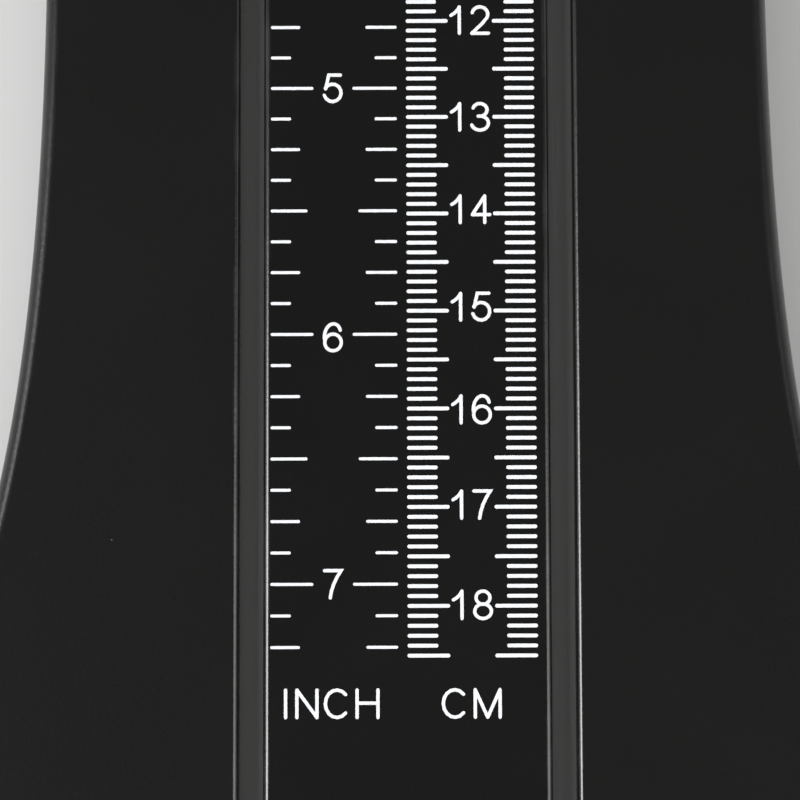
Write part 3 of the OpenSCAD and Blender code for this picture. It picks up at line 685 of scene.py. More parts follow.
@dataclass(frozen=True)
class SlideTrack:
    """A grey plastic channel that shoes have polished along its length."""

    name: str
    colour: Colour
    polished: Colour
    roughness: float
    specular: float = 0.4
    fineness: float = 2600.0
    grain: float = 3000.0
    dark_share: float = 0.88
    mark_share: float = 0.5
    mark_polish: float = 0.18

    def material(self) -> bpy.types.Material:
        """Builds the material.

        Returns:
            The new material.
        """
        net, shader, place, material = new_shader(self.name, Specular_IOR_Level=self.specular)
        marks = net.group(slide_marks(), Place=place, Fineness=self.fineness)["Mask"]
        grain = net.group(moulded_grain(), Place=place, Grain=self.grain)
        cloudy = net.mix(grain["Gloss"], shaded(self.colour, self.dark_share), self.colour)
        shown = net.mix(net.times(marks, self.mark_share), cloudy, self.polished)
        net.feed(shader, Base_Color=shown,
                 Roughness=net.minus(self.roughness, net.times(marks, self.mark_polish)),
                 Normal=net.bump(grain["Height"], strength=0.5, distance=0.02 * MM))
        return material


@dataclass(frozen=True)
class PlatedSteel:
    """Zinc-plated steel, as on small screws."""

    name: str
    colour: Colour
    tarnish: Colour
    gloss_spread: float = 0.3
    least_roughness: float = 0.16

    def material(self) -> bpy.types.Material:
        """Builds the material.

        Returns:
            The new material.
        """
        net, shader, place, material = new_shader(self.name, Metallic=1.0)
        spot_scale, gloss_scale, pit_scale = 700.0, 2200.0, 5000.0
        spots = net.ramp(net.noise(place, spot_scale, detail=4.0), low=0.5, high=0.72)
        gloss = net.times(net.noise(place, gloss_scale), self.gloss_spread)
        net.feed(shader, Base_Color=net.mix(spots, self.colour, self.tarnish),
                 Roughness=net.sum(gloss, self.least_roughness),
                 Normal=net.bump(net.noise(place, pit_scale), strength=0.3, distance=0.02 * MM))
        return material


@dataclass(frozen=True)
class ClearSheet:
    """Clear acrylic with faint scuffs along the slide."""

    name: str
    tint: Colour
    ior: float = 1.49
    fineness: float = 1800.0
    cloud_scale: float = 120.0
    cloud_share: float = 0.97
    mark_roughness: float = 0.12
    cloud_roughness: float = 0.03

    def material(self) -> bpy.types.Material:
        """Builds the material.

        Returns:
            The new material.
        """
        net, shader, place, material = new_shader(self.name, Transmission_Weight=1.0, IOR=self.ior)
        marks = net.group(slide_marks(), Place=place, Fineness=self.fineness)["Mask"]
        cloud = net.noise(place, self.cloud_scale, detail=2.0)
        scuffed = net.times(marks, self.mark_roughness)
        rough = net.sum(scuffed, net.times(cloud, self.cloud_roughness))
        net.feed(shader, Base_Color=net.mix(cloud, self.tint, shaded(self.tint, self.cloud_share)),
                 Roughness=rough, Normal=net.bump(marks, strength=0.15, distance=0.01 * MM))
        return material


class Finish(Enum):
    """Each finish, under the record's slot that it dresses."""

    deck_plastic = Moulding("satin_black_deck", (0.0070, 0.0070, 0.0067), (0.03, 0.03, 0.03),
                            roughness=0.28, gloss_spread=0.1, grain=2600.0, relief=0.03 * MM,
                            edge_polish=0.09, edge_gloss=0.7)
    tray_plastic = Moulding("matt_black_tray", (0.011, 0.011, 0.0115), (0.035, 0.035, 0.035),
                            roughness=0.55, gloss_spread=0.16, grain=1500.0, relief=0.06 * MM)
    ruler_plastic = Moulding("satin_black_ruler", (0.0050, 0.0050, 0.0048), (0.03, 0.031, 0.033),
                             roughness=0.27, gloss_spread=0.1, grain=3200.0, relief=0.02 * MM,
                             edge_polish=0.08, edge_gloss=0.7)
    cup_plastic = Moulding("satin_black_cup", (0.0085, 0.0085, 0.009), (0.034, 0.034, 0.034),
                           roughness=0.4, gloss_spread=0.16, grain=2200.0, relief=0.04 * MM)
    slider_plastic = Moulding("satin_black_slider", (0.009, 0.009, 0.0095), (0.035, 0.035, 0.035),
                              roughness=0.38, gloss_spread=0.16, grain=2200.0, relief=0.04 * MM)
    shoe_nylon = Moulding("black_nylon", (0.018, 0.018, 0.018), (0.05, 0.05, 0.05),
                          roughness=0.36, gloss_spread=0.2, grain=1800.0, relief=0.03 * MM)
    foot_rubber = Moulding("foot_rubber", (0.022, 0.022, 0.022), (0.05, 0.05, 0.048),
                           roughness=0.78, gloss_spread=0.12, grain=1400.0, relief=0.08 * MM,
                           specular=0.25)
    stop_rubber = Moulding("stop_rubber", (0.028, 0.028, 0.028), (0.05, 0.05, 0.05),
                           roughness=0.75, gloss_spread=0.12, grain=1600.0, relief=0.06 * MM,
                           specular=0.25)
    grip_rubber = Moulding("grip_rubber", (0.02, 0.02, 0.021), (0.05, 0.05, 0.05),
                           roughness=0.7, gloss_spread=0.14, grain=1600.0, relief=0.06 * MM,
                           specular=0.3)
    # partly the channel's own grey and partly painted light: both greys are set lighter than the
    # plastic is, so that the floor of the deep groove, which its walls shade, still renders evenly
    # light
    rail_plastic = SlideTrack("grey_channel_painted_lighter", (0.140, 0.139, 0.136), (0.18, 0.178, 0.173),
                              roughness=0.52)
    white_ink = Ink("white_ink", (0.86, 0.88, 0.92), roughness=0.5)
    red_ink = Ink("red_ink", (0.62, 0.02, 0.015), roughness=0.4)
    zinc_steel = PlatedSteel("zinc_plated_steel", (0.62, 0.63, 0.65), (0.38, 0.37, 0.34))
    clear_acrylic = ClearSheet("clear_acrylic", (0.97, 0.99, 0.99))


@cache
def material_for(finish: Finish) -> bpy.types.Material:
    """Builds a finish's material once."""
    return finish.value.material()


def place_piece(name: str, solid: Solid, finish: Finish, body: Body,
                *stands_for: str) -> bpy.types.Object:
    """Turns a solid into a piece of the object.

    Args:
        name: The piece's name.
        solid: Its shape, in place.
        finish: Its finish, which names the record's slot.
        body: The body that it rides on.
        stands_for: The CAD nodes that it replaces.

    Returns:
        The new object.
    """
    piece = linked(name, solid.mesh(name))
    piece.data.materials.append(material_for(finish))
    weighted = piece.modifiers.new("flat_faces_first", "WEIGHTED_NORMAL")
    weighted.keep_sharp = True
    solid.bm.free()
    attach(piece, body.value)
    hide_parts(*stands_for)
    log.info("%s: %d faces for %s", name, len(piece.data.polygons), ", ".join(stands_for))
    return piece


def dress_node(node: str, finish: Finish) -> None:
    """Gives a CAD node its finish and leaves its mesh as it is.

    Args:
        node: The CAD node's name.
        finish: Its finish.
    """
    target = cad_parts[node]
    target.data.materials.clear()
    target.data.materials.append(material_for(finish))
    log.info("%s: dressed with %s", node, finish.name)


# ---- The deck's outline ----


@dataclass(frozen=True)
class Outline:
    """The deck's outline: four cubic curves down the right-hand side, heel centre to toe centre."""

    width: float
    length: float
    heel_w: float = 78 * MM
    waist_w: float = 74.2 * MM
    waist_from_heel_end: float = 129 * MM
    widest_from_tip: float = 30 * MM
    heel_flank: float = 34 * MM
    waist_flank: float = 36 * MM
    flare_waist: float = 74 * MM
    flare_toe: float = 38 * MM
    tip_flank: float = 0.6
    tip_reach: float = 0.3
    quarter_round: float = 0.5523
    steps: int = 40
    arm_steps: int = 8

    def curves(self) -> list[tuple[Vector, Vector, Vector, Vector]]:
        """Gives each curve as its start, two handles and its end.

        Returns:
            The four curves, from the heel to the toe.
        """
        heel_r = self.heel_w / 2
        waist = self.waist_w / 2
        wide = self.width / 2
        heel_end = self.length / 2
        toe_end = -heel_end
        side_y = heel_end - heel_r
        waist_y = heel_end - self.waist_from_heel_end
        wide_y = toe_end + self.widest_from_tip
        round_by = heel_r * self.quarter_round
        rows = [
            [(0, heel_end), (round_by, heel_end), (heel_r, side_y + round_by), (heel_r, side_y)],
            [(heel_r, side_y), (heel_r, side_y - self.heel_flank),
             (waist, waist_y + self.waist_flank), (waist, waist_y)],
            [(waist, waist_y), (waist, waist_y - self.flare_waist),
             (wide, wide_y + self.flare_toe), (wide, wide_y)],
            [(wide, wide_y), (wide, wide_y - self.widest_from_tip * self.tip_flank),
             (self.width * self.tip_reach, toe_end), (0, toe_end)]]
        return [tuple(Vector((*point, 0)) for point in row) for row in rows]

    def stretch(self, index: int, inset: float, upto: float = 1.0,
                steps: int | None = None) -> list[Vector]:
        """Follows one curve, moved inwards.

        Args:
            index: Which of the four curves.
            inset: How far inwards.
            upto: The share of the curve to follow.
            steps: How many straight steps it takes, or none for the usual number.

        Returns:
            The points, both ends included.
        """
        start, first, second, end = self.curves()[index]
        steps = steps or self.steps
        points = []
        for step in range(steps + 1):
            t = upto * step / steps
            point = ((1 - t) ** 3 * start + 3 * (1 - t) ** 2 * t * first
                     + 3 * (1 - t) * t * t * second + t ** 3 * end)
            heading = ((1 - t) ** 2 * (first - start) + 2 * (1 - t) * t * (second - first)
                       + t * t * (end - second)).normalized()
            points.append(point - inset * Vector((-heading.y, heading.x, 0)))
        return points

    def loop(self, inset: float = 0.0) -> list[tuple[float, float]]:
        """Gives the whole outline, moved inwards, as (x, y) corners.

        Args:
            inset: How far inwards.

        Returns:
            The corners, once round.
        """
        last = len(self.curves()) - 1
        right = [point for index in range(last) for point in self.stretch(index, inset)[:-1]]
        right += self.stretch(last, inset)
        left = [(-point.x, point.y) for point in reversed(right[1:-1])]
        return [(point.x, point.y) for point in right] + left

    def heel_arc(self, inset: float, arm_share: float) -> list[tuple[float, float]]:
        """Gives the open heel stretch, from the left arm's end round to the right arm's end.

        Args:
            inset: How far inwards.
            arm_share: The share of the flank's curve that each arm follows.

        Returns:
            The (x, y) points, both ends included.
        """
        right = self.stretch(0, inset)[:-1] + self.stretch(1, inset, arm_share, self.arm_steps)
        left = [(-point.x, point.y) for point in reversed(right[1:])]
        return left + [(point.x, point.y) for point in right]


# ---- The gauge's body ----


@dataclass
class DeckAndTray:
    """The top shell and the bottom tray, which close on each other."""

    wall: float = 2.2 * MM
    deck: float = 2.4 * MM
    edge_radius: float = 1.6 * MM
    edge_wear: float = 0.3
    lip_radius: float = 0.7 * MM
    lip_end: float = 1.5 * MM
    groove: float = 2.4 * MM
    fit: float = 0.15 * MM
    boss_radius: float = 3.2 * MM
    boss_bore: float = 1.2 * MM
    cup_boss_radius: float = 3 * MM
    pad_radius: float = 4.5 * MM
    pad: float = 1.2 * MM
    tray_setback: float = 0.25 * MM
    tray_lip: float = 2 * MM
    tray_edge_radius: float = 0.5 * MM
    rib: float = 1.6 * MM
    seat_margin: float = 2 * MM
    spine_overrun: float = 3 * MM
    pocket_pitch: float = 22 * MM
    foot_recess: float = 0.8 * MM
    screw_sink: float = 0.4 * MM
    screw_head: float = 1.4 * MM
    head_clearance: float = 0.4 * MM
    hole_clearance: float = 0.35 * MM

    def __post_init__(self) -> None:
        """Reads the frame's boxes."""
        self.shell = Box.of("top_shell")
        self.tray = Box.of("bottom_tray")
        self.plate = Box.of("scale_plate")
        self.rail = Box.of("guide_rail_right")
        self.outline = Outline(self.shell.size.x, self.shell.size.y)
        self.deck_z = self.shell.high.z
        self.deck_under = self.deck_z - self.deck
        self.seam_z = self.shell.low.z
        self.pad_z = self.seam_z + self.pad
        self.slot_x = self.plate.high.x + self.groove
        self.slot_y = (self.plate.low.y - self.fit, self.plate.high.y + self.fit)
        self.tray_screws = [box.centre for box in solid_boxes("tray_screws")]
        self.cup_screws = [box.centre for box in solid_boxes("heel_cup_screws")]
        self.screw_size = solid_boxes("tray_screws")[0].size

    def build(self) -> None:
        """Makes both mouldings."""
        place_piece("deck_moulding", self.shell_solid(), Finish.deck_plastic, Body.GAUGE,
                    "top_shell")
        place_piece("tray_moulding", self.tray_solid(), Finish.tray_plastic, Body.GAUGE,
                    "bottom_tray")

    def shell_solid(self) -> Solid:
        """Makes the deck with its rounded edge, its long slot and the bosses under it.

        Returns:
            The top shell.
        """
        shell = Solid.drawn(self.outline.loop(), Axis.Z, self.seam_z, self.deck_z)
        top = self.deck_z - TINY
        shell.round_edges(self.edge_radius, lambda a, b: a.z > top and b.z > top, segments=8,
                          worn=self.edge_wear)
        shell.minus(Solid.drawn(self.outline.loop(self.wall), Axis.Z, self.seam_z - self.deck,
                                self.deck_under))
        shell.plus(*Solid.posts(self.tray_screws, self.pad_z, self.deck_under + self.deck / 4,
                                self.boss_radius))
        low_y, high_y = self.slot_y
        past = self.deck_z * 2
        seat_x = self.rail.high.x + self.fit
        slot = Box.span((-self.slot_x, low_y, 0), (self.slot_x, high_y, past))
        seat = Box.span((-seat_x, low_y, 0), (seat_x, high_y, self.plate.low.z))
        shell.minus(Solid.block(slot), Solid.block(seat),
                    *Solid.posts(self.tray_screws, 0, self.plate.low.z, self.boss_bore, BORE_SIDES),
                    *Solid.posts(self.cup_screws, 0, past, self.cup_boss_radius + self.fit))
        lip = slot.grown(x=TINY, y=TINY)

        def on_lip(a: Vector, b: Vector) -> bool:
            """Says whether an edge is on the slot's top edge."""
            return all(p.z > top and lip.holds(p) for p in (a, b))

        shell.round_edges(self.lip_radius, on_lip, segments=6)
        return shell.crossed((lip.low.y + self.lip_end, lip.high.y - self.lip_end))

    def spine_pockets(self) -> list[Solid]:
        """Makes the cores that hollow the tray's spine from below: wide ones, then tall ones.

        Returns:
            The wide cores as one solid, and the tall ones as another.
        """
        start = self.slot_y[1] + self.spine_overrun
        stop = self.slot_y[0] - self.spine_overrun
        count = int((start - stop) / self.pocket_pitch)
        length = (start - stop - self.rib) / count - self.rib
        wide_x = self.rail.high.x + self.seat_margin - self.rib
        high_x = self.rail.low.x - self.fit - self.rib
        plateau = (self.slot_y[0] + self.fit + self.rib, self.slot_y[1] - self.fit - self.rib)
        wide, tall = [], []
        for index in range(count):
            far = start - self.rib - index * (length + self.rib)
            near = far - length
            tall_near, tall_far = max(near, plateau[0]), min(far, plateau[1])
            for side in (-1, 1):
                for cores, reach, top, y_low, y_high in (
                        (wide, wide_x, self.rail.low.z - self.rib, near, far),
                        (tall, high_x, self.plate.low.z - self.rib, tall_near, tall_far)):
                    ends = sorted((side * self.rib / 2, side * reach))
                    cores.append(Box.span((ends[0], y_low, -self.deck), (ends[1], y_high, top)))
        return [Solid.block(*wide), Solid.block(*tall)]

    def tray_solid(self) -> Solid:
        """Makes the tray: plate, locating lip, spine under the rails, pads, recesses and holes.

        Returns:
            The bottom tray.
        """
        under = self.tray.low.z
        tray = Solid.drawn(self.outline.loop(self.tray_setback), Axis.Z, under, self.seam_z)
        tray.round_edges(self.tray_edge_radius, lambda a, b: max(a.z, b.z) < under + TINY)
        lip_inset = self.wall + self.fit
        lip = Solid.drawn(self.outline.loop(lip_inset), Axis.Z, self.seam_z - self.rib / 2,
                          self.seam_z + self.tray_lip)
        lip.minus(Solid.drawn(self.outline.loop(lip_inset + self.rib), Axis.Z, 0, self.deck_z))
        spine_x = self.rail.high.x + self.seat_margin
        inner_x = self.rail.low.x - self.fit
        low_y, high_y = self.slot_y
        spine = Solid.block(Box.span((-spine_x, low_y - self.spine_overrun, under + self.rib),
                                     (spine_x, high_y + self.spine_overrun, self.rail.low.z)))
        plateau = Solid.block(Box.span((-inner_x, low_y + self.fit, under + self.rib),
                                       (inner_x, high_y - self.fit, self.plate.low.z)))
        screws = self.tray_screws + self.cup_screws
        tray.plus(lip, spine, plateau,
                  *Solid.posts(screws, under + self.rib, self.pad_z, self.pad_radius))
        feet = [Box.of(node) for node in FOOT_NODES]
        foot_radius = feet[0].size.x / 2 + self.fit
        head_radius = self.screw_size.x / 2 + self.head_clearance
        seat_z = under + self.screw_sink + self.screw_head
        hole = self.boss_bore + self.hole_clearance
        return tray.minus(
            *Solid.posts([foot.centre for foot in feet], -self.deck, under + self.foot_recess,
                         foot_radius, FOOT_SIDES),
            *Solid.posts(screws, -self.deck, seat_z, head_radius),
            *Solid.posts(screws, 0, self.pad_z + self.deck, hole, BORE_SIDES),
            *self.spine_pockets())


FOOT_NODES = ("foot_heel_left", "foot_heel_right", "foot_toe_left", "foot_toe_right")
STOP_NODES = ("heel_stop_left", "heel_stop_right", "toe_stop_left", "toe_stop_right")


@dataclass
class Ruler:
    """The ruler plate, its print and the two channels beside it."""

    edge_radius: float = 0.7 * MM
    mark_roundness: float = 0.47

    def build(self) -> None:
        """Makes the plate and the marks, and dresses the figures, letters and rails."""
        place_piece("ruler_strip", self.strip(), Finish.ruler_plastic, Body.GAUGE, "scale_plate")
        place_piece("ruler_marks", self.marks(), Finish.white_ink, Body.GAUGE, "scale_ticks")
        for node in ("scale_numerals", "unit_letters"):
            dress_node(node, Finish.white_ink)
        for node in ("guide_rail_left", "guide_rail_right"):
            dress_node(node, Finish.rail_plastic)

    def strip(self) -> Solid:
        """Makes the plate with its long top edges rounded.

        Returns:
            The plate.
        """
        box = Box.of("scale_plate")
        strip = Solid.block(box)
        top = box.high.z - TINY

        def along(a: Vector, b: Vector) -> bool:
            """Says whether an edge is a long top edge."""
            return a.z > top and b.z > top and abs(a.y - b.y) > box.size.y / 2

        return strip.round_edges(self.edge_radius, along, segments=6)

    def marks(self) -> Solid:
        """Makes each printed mark with round ends, where the frame has it.

        Returns:
            All the marks as one solid.
        """
        rows = []
        boxes = solid_boxes("scale_ticks")
        for width in sorted({round(box.size.y, DIGITS) for box in boxes}):
            row = Solid.block(*[box for box in boxes if round(box.size.y, DIGITS) == width])
            rows.append(row.round_edges(width * self.mark_roundness,
                                        lambda a, b: abs(a.z - b.z) > TINY))
        return Solid.group(rows)


@dataclass
class HeelCup:
    """The upright heel stop: a U-shaped wall with a round rim, its floor and its bosses."""

    margin: float = 1.7 * MM
    wall: float = 3.3 * MM
    arm_share: float = 0.2
    arm_height: float = 11 * MM
    floor: float = 1.6 * MM
    ramp: float = 5 * MM
    ramp_lip: float = 0.4 * MM
    floor_setback: float = 0.4 * MM
    boss_radius: float = 3 * MM
    bore: float = 1.2 * MM
    pad_z: float = 5.2 * MM
    rim_radius: float = 1.5 * MM
    corner_radius: float = 1.6 * MM

    def __post_init__(self) -> None:
        """Reads the frame's boxes."""
        shell = Box.of("top_shell")
        self.outline = Outline(shell.size.x, shell.size.y)
        self.deck_z = shell.high.z
        self.back_height = Box.of("heel_cup").high.z - self.deck_z
        self.heel_end = shell.high.y
        self.arm_end = self.outline.stretch(1, 0, self.arm_share)[-1].y
        self.screws = [box.centre for box in solid_boxes("heel_cup_screws")]

    def build(self) -> None:
        """Makes the cup as one moulding."""
        cup = self.rim().plus(self.floor_plate())
        reach = self.outline.length
        cup.minus(Solid.block(Box.span((-reach, -reach, 0), (reach, reach, self.deck_z))))
        cup.plus(*Solid.posts(self.screws, self.pad_z, self.deck_z + self.floor / 2,
                              self.boss_radius))
        cup.minus(*Solid.posts(self.screws, 0, self.deck_z + self.floor / 8, self.bore, BORE_SIDES))
        place_piece("heel_cup_moulding", cup, Finish.cup_plastic, Body.GAUGE, "heel_cup")

    def top_at(self, y: float) -> float:
        """Gives the wall's height at a place along the gauge: high behind, low at the arms.

        Args:
            y: The place.

        Returns:
            The z of the wall's top there.
        """
        share = max(0.0, min(1.0, (self.heel_end - y) / (self.heel_end - self.arm_end)))
        rise = (self.back_height - self.arm_height) * (1 + math.cos(math.pi * share)) / 2
        return self.deck_z + self.arm_height + rise

    def rim(self) -> Solid:
        """Makes the wall from a strip between two heel arcs, drawn up and rounded.

        Returns:
            The wall.
        """
        rim = Solid()
        rows = []
        for inset in (self.margin, self.margin + self.wall):
            verts = [rim.bm.verts.new((x, y, self.deck_z - self.floor))
                     for x, y in self.outline.heel_arc(inset, self.arm_share)]
            rows += [rim.bm.edges.new(pair) for pair in zip(verts, verts[1:])]
        bmesh.ops.bridge_loops(rim.bm, edges=rows)
        drawn = bmesh.ops.extrude_face_region(rim.bm, geom=rim.bm.faces[:], use_keep_orig=True)
        for item in drawn["geom"]:
            if isinstance(item, bmesh.types.BMVert):
                item.co.z = self.top_at(item.co.y)
        rim.outwards()
        floor = self.deck_z + TINY
        rim.round_edges(self.corner_radius, lambda a, b: abs(a.z - b.z) > self.arm_height / 2
                        and max(a.y, b.y) < self.arm_end + self.wall, segments=5, sharper_than=60)
        return rim.round_edges(self.rim_radius, lambda a, b: min(a.z, b.z) > floor, segments=7,
                               sharper_than=60)

    def floor_plate(self) -> Solid:
        """Makes the cup's floor, ramped at its open side, from under the deck, to be trimmed.

        Returns:
            The floor.
        """
        under = self.deck_z - self.floor / 2
        top = self.deck_z + self.floor
        arc = self.outline.heel_arc(self.margin + self.wall / 2, self.arm_share)
        plate = Solid.drawn(arc, Axis.Z, under, top)
        start = self.arm_end + self.floor_setback
        profile = [(start, under - self.floor), (self.heel_end, under - self.floor),
                   (self.heel_end, top + self.floor), (start + self.ramp, top + self.floor),
                   (start + self.ramp, top), (start, self.deck_z + self.ramp_lip)]
        half = self.outline.heel_w
        return plate.within(Solid.drawn(profile, Axis.X, -half, half))


@dataclass
class Fixings:
    """Screws, rubber feet and the stop blocks in the rails."""

    head: float = 1.4 * MM
    shank: float = 1.15 * MM
    thread: float = 0.22 * MM
    pitch: float = 0.9 * MM
    crest: float = 0.3
    plain_tip: float = 1.5
    head_profile: tuple[tuple[float, float], ...] = ((0, 0), (0.62, 0), (0.88, 0.16), (1, 0.45))
    drive_w: float = 0.7 * MM
    drive_share: float = 0.6
    foot_chamfer: float = 0.5 * MM
    foot_groove: float = 0.35 * MM
    foot_rings: tuple[float, ...] = (0.35, 0.65)
    stop_edge: float = 0.35 * MM

    def build(self) -> None:
        """Makes every fixing."""
        for node, name in (("tray_screws", "tray_screw_set"), ("heel_cup_screws", "cup_screw_set")):
            screws = Solid.group(self.screw(box) for box in solid_boxes(node))
            place_piece(name, screws, Finish.zinc_steel, Body.GAUGE, node)
        for node in FOOT_NODES:
            foot = self.foot(Box.of(node))
            place_piece(node + "_pad", foot, Finish.foot_rubber, Body.GAUGE, node)
        for node in STOP_NODES:
            block = Solid.block(Box.of(node)).round_edges(self.stop_edge, segments=3)
            place_piece(node + "_block", block, Finish.stop_rubber, Body.GAUGE, node)

    def screw(self, box: Box) -> Solid:
        """Makes a pan-head screw that points up, with thread rings and a cross recess.

        Args:
            box: The box that the screw fills.

        Returns:
            The screw.
        """
        low, seat, tip = box.low.z, box.low.z + self.head, box.high.z
        radius = box.size.x / 2
        core = self.shank - self.thread
        profile = [(radius * across, low + self.head * up) for across, up in self.head_profile]
        profile += [(radius, seat), (core, seat)]
        z = seat + self.pitch / 2
        while z < tip - self.plain_tip * self.pitch:
            profile += [(core, z), (self.shank, z + self.pitch * self.crest),
                        (core, z + 2 * self.pitch * self.crest)]
            z += self.pitch
        profile += [(core, tip - self.pitch), (0, tip)]
        x, y = box.centre.x, box.centre.y
        screw = Solid.turned(profile, x, y, BORE_SIDES)
        reach = radius * self.drive_share
        for half_x, half_y in ((reach, self.drive_w / 2), (self.drive_w / 2, reach)):
            screw.minus(Solid.block(Box.span((x - half_x, y - half_y, low - self.head),
                                             (x + half_x, y + half_y, low + self.head / 2))))
        return screw

    def foot(self, box: Box) -> Solid:
        """Makes a round rubber foot with two ring grooves under it.

        Args:
            box: The box that the foot fills.

        Returns:
            The foot.
        """
        radius, low, high = box.size.x / 2, box.low.z, box.high.z
        groove, lip = self.foot_groove, self.foot_chamfer
        profile = [(0, low)]
        for ring in self.foot_rings:
            at = radius * ring
            profile += [(at - groove, low), (at, low + groove), (at + groove, low)]
        profile += [(radius - lip, low), (radius, low + lip), (radius, high), (0, high)]
        return Solid.turned(profile, box.centre.x, box.centre.y, FOOT_SIDES)


# ---- The toe slider ----


@dataclass
class ToeSlider:
    """The carriage with its toe wall, window, guide shoes and thumb grip."""

    half_w: float = 31 * MM
    thick: float = 6 * MM
    wall_t: float = 3.5 * MM
    wall_fillet: float = 2.5 * MM
    wall_corner: float = 14 * MM
    corner: float = 7 * MM
    gusset_x: float = 21 * MM
    gusset_t: float = 2.4 * MM
    gusset_l: float = 13 * MM
    gusset_h: float = 20 * MM
    grip_count: int = 7
    grip_pitch: float = 3.2 * MM
    grip_r: float = 0.9 * MM
    grip_drop: float = 1 * MM
    grip_from_corner: float = 3 * MM
    lens_rim: float = 1.2 * MM
    lens_edge: float = 0.25 * MM
    seat_gap: float = 0.075 * MM
    thumb_recess: float = 0.4 * MM
    thumb_pad: float = 1 * MM
    thumb_edge: float = 0.3 * MM
    thumb_ribs: int = 4
    thumb_rib_r: float = 0.7 * MM
    thumb_rib_end: float = 1 * MM
    shoe_neck: float = 2.0 * MM
    screw_bore: float = 0.75 * MM
    soft_edge: float = 0.6 * MM

    def __post_init__(self) -> None:
        """Reads the frame's boxes."""
        self.box = Box.of("slider_body")
        self.lens = Box.of("cursor_lens")
        self.thumb = Box.of("thumb_grip")
        self.shoe = Box.of("shoe_right")
        self.screws = solid_boxes("shoe_screws")
        self.top = self.box.low.z + self.thick
        self.face_y = self.box.high.y
        self.tail_y = self.box.low.y

    def build(self) -> None:
        """Makes every piece that slides."""
        place_piece("slider_moulding", self.carriage(), Finish.slider_plastic, Body.SLIDER,
                    "slider_body")
        lens = Solid.block(self.lens).round_edges(self.lens_edge, segments=3)
        place_piece("cursor_window", lens, Finish.clear_acrylic, Body.SLIDER, "cursor_lens")
        dress_node("cursor_hairline", Finish.red_ink)
        for node in ("shoe_left", "shoe_right"):
            dress_node(node, Finish.shoe_nylon)
        dress_node("shoe_screws", Finish.zinc_steel)
        place_piece("thumb_pad", self.thumb_pad_solid(), Finish.grip_rubber, Body.SLIDER,
                    "thumb_grip")

    def carriage(self) -> Solid:
        """Makes the carriage, its toe wall, gussets and grips, then cuts its openings.

        Returns:
            The carriage.
        """
        body = self.plate().plus(self.toe_wall(), *self.gussets())
        body.plus(*self.side_grips())
        window = self.lens.grown(x=-self.lens_rim, y=-self.lens_rim, z=self.thick * 2)
        seat = Box(self.lens.low - Vector((self.seat_gap, self.seat_gap, self.thick)),
                   self.lens.high + Vector((self.seat_gap, self.seat_gap, 0)))
        recess = Box.span((*self.thumb.low.xy, self.top - self.thumb_recess),
                          (*self.thumb.high.xy, self.top + self.thick))
        cuts = [Solid.block(window), Solid.block(seat),
                Solid.block(recess.grown(x=self.seat_gap, y=self.seat_gap))]
        reach = self.shoe_neck / 2 + self.seat_gap
        for side in (-1, 1):
            middle = side * self.shoe.centre.x
            cuts.append(Solid.block(Box.span(
                (middle - reach, self.shoe.low.y - self.seat_gap, self.box.low.z - self.thick),
                (middle + reach, self.shoe.high.y + self.seat_gap, self.shoe.high.z))))
        cuts += Solid.posts([screw.centre for screw in self.screws], self.box.low.z,
                            self.screws[0].high.z + self.soft_edge, self.screw_bore, RIB_SIDES)
        body.minus(*cuts)
        rim = window.grown(x=TINY, y=TINY)

        def on_window(a: Vector, b: Vector) -> bool:
            """Says whether an edge is on the window's top rim."""
            return all(abs(p.z - self.top) < TINY and rim.holds(p) for p in (a, b))

        return body.round_edges(self.soft_edge, on_window, segments=4)

    def arc(self, y: float, z: float, radius: float, start: float, stop: float,
            steps: int = 10) -> list[tuple[float, float]]:
        """Gives points (y, z) on an arc; y runs towards the toe from the toe wall's face."""
        angles = [math.radians(start + (stop - start) * step / steps) for step in range(steps + 1)]
        return [(y - radius * math.cos(angle), z + radius * math.sin(angle)) for angle in angles]

    def plate(self) -> Solid:
        """Makes the carriage plate from its side profile, with round corners at the tail.

        Returns:
            The plate.
        """
        low, top, face, fillet = self.box.low.z, self.top, self.face_y, self.wall_fillet
        inner = face - self.wall_t
        tail = self.thick / 2
        profile = [(face, low), (face, top + fillet)]
        profile += self.arc(inner - fillet, top + fillet, fillet, 180, 270)
        profile += self.arc(self.tail_y + tail, top - tail, tail, 90, 0)
        profile += [(self.tail_y, low)]
        plate = Solid.drawn(profile, Axis.X, -self.half_w - self.corner, self.half_w + self.corner)
        shape = Solid.block(Box.span((-self.half_w, self.tail_y, low - self.thick),
                                     (self.half_w, face + self.corner, self.top + self.thick)))
        shape.round_edges(self.corner, lambda a, b: abs(a.z - b.z) > self.thick, segments=12)
        plate.within(shape)
        side = self.half_w - TINY
        return plate.round_edges(self.soft_edge, lambda a, b: min(abs(a.x), abs(b.x)) > side
                                 and a.x * b.x > 0 and min(a.z, b.z) > self.top - TINY
                                 and max(a.z, b.z) < self.top + TINY)

    def toe_wall(self) -> Solid:
        """Makes the upright toe wall, with round top corners and soft edges.

        Returns:
            The wall.
        """
        low, high = self.box.low, self.box.high
        wall = Solid.block(Box.span((low.x, high.y - self.wall_t, low.z), high))
        wall.round_edges(self.wall_corner, lambda a, b: abs(a.y - b.y) > self.wall_t / 2
                         and min(a.z, b.z) > high.z - TINY, segments=16)
        return wall.round_edges(self.soft_edge, lambda a, b: abs(a.y - b.y) < TINY
                                and max(a.z, b.z) > low.z + TINY, segments=4)

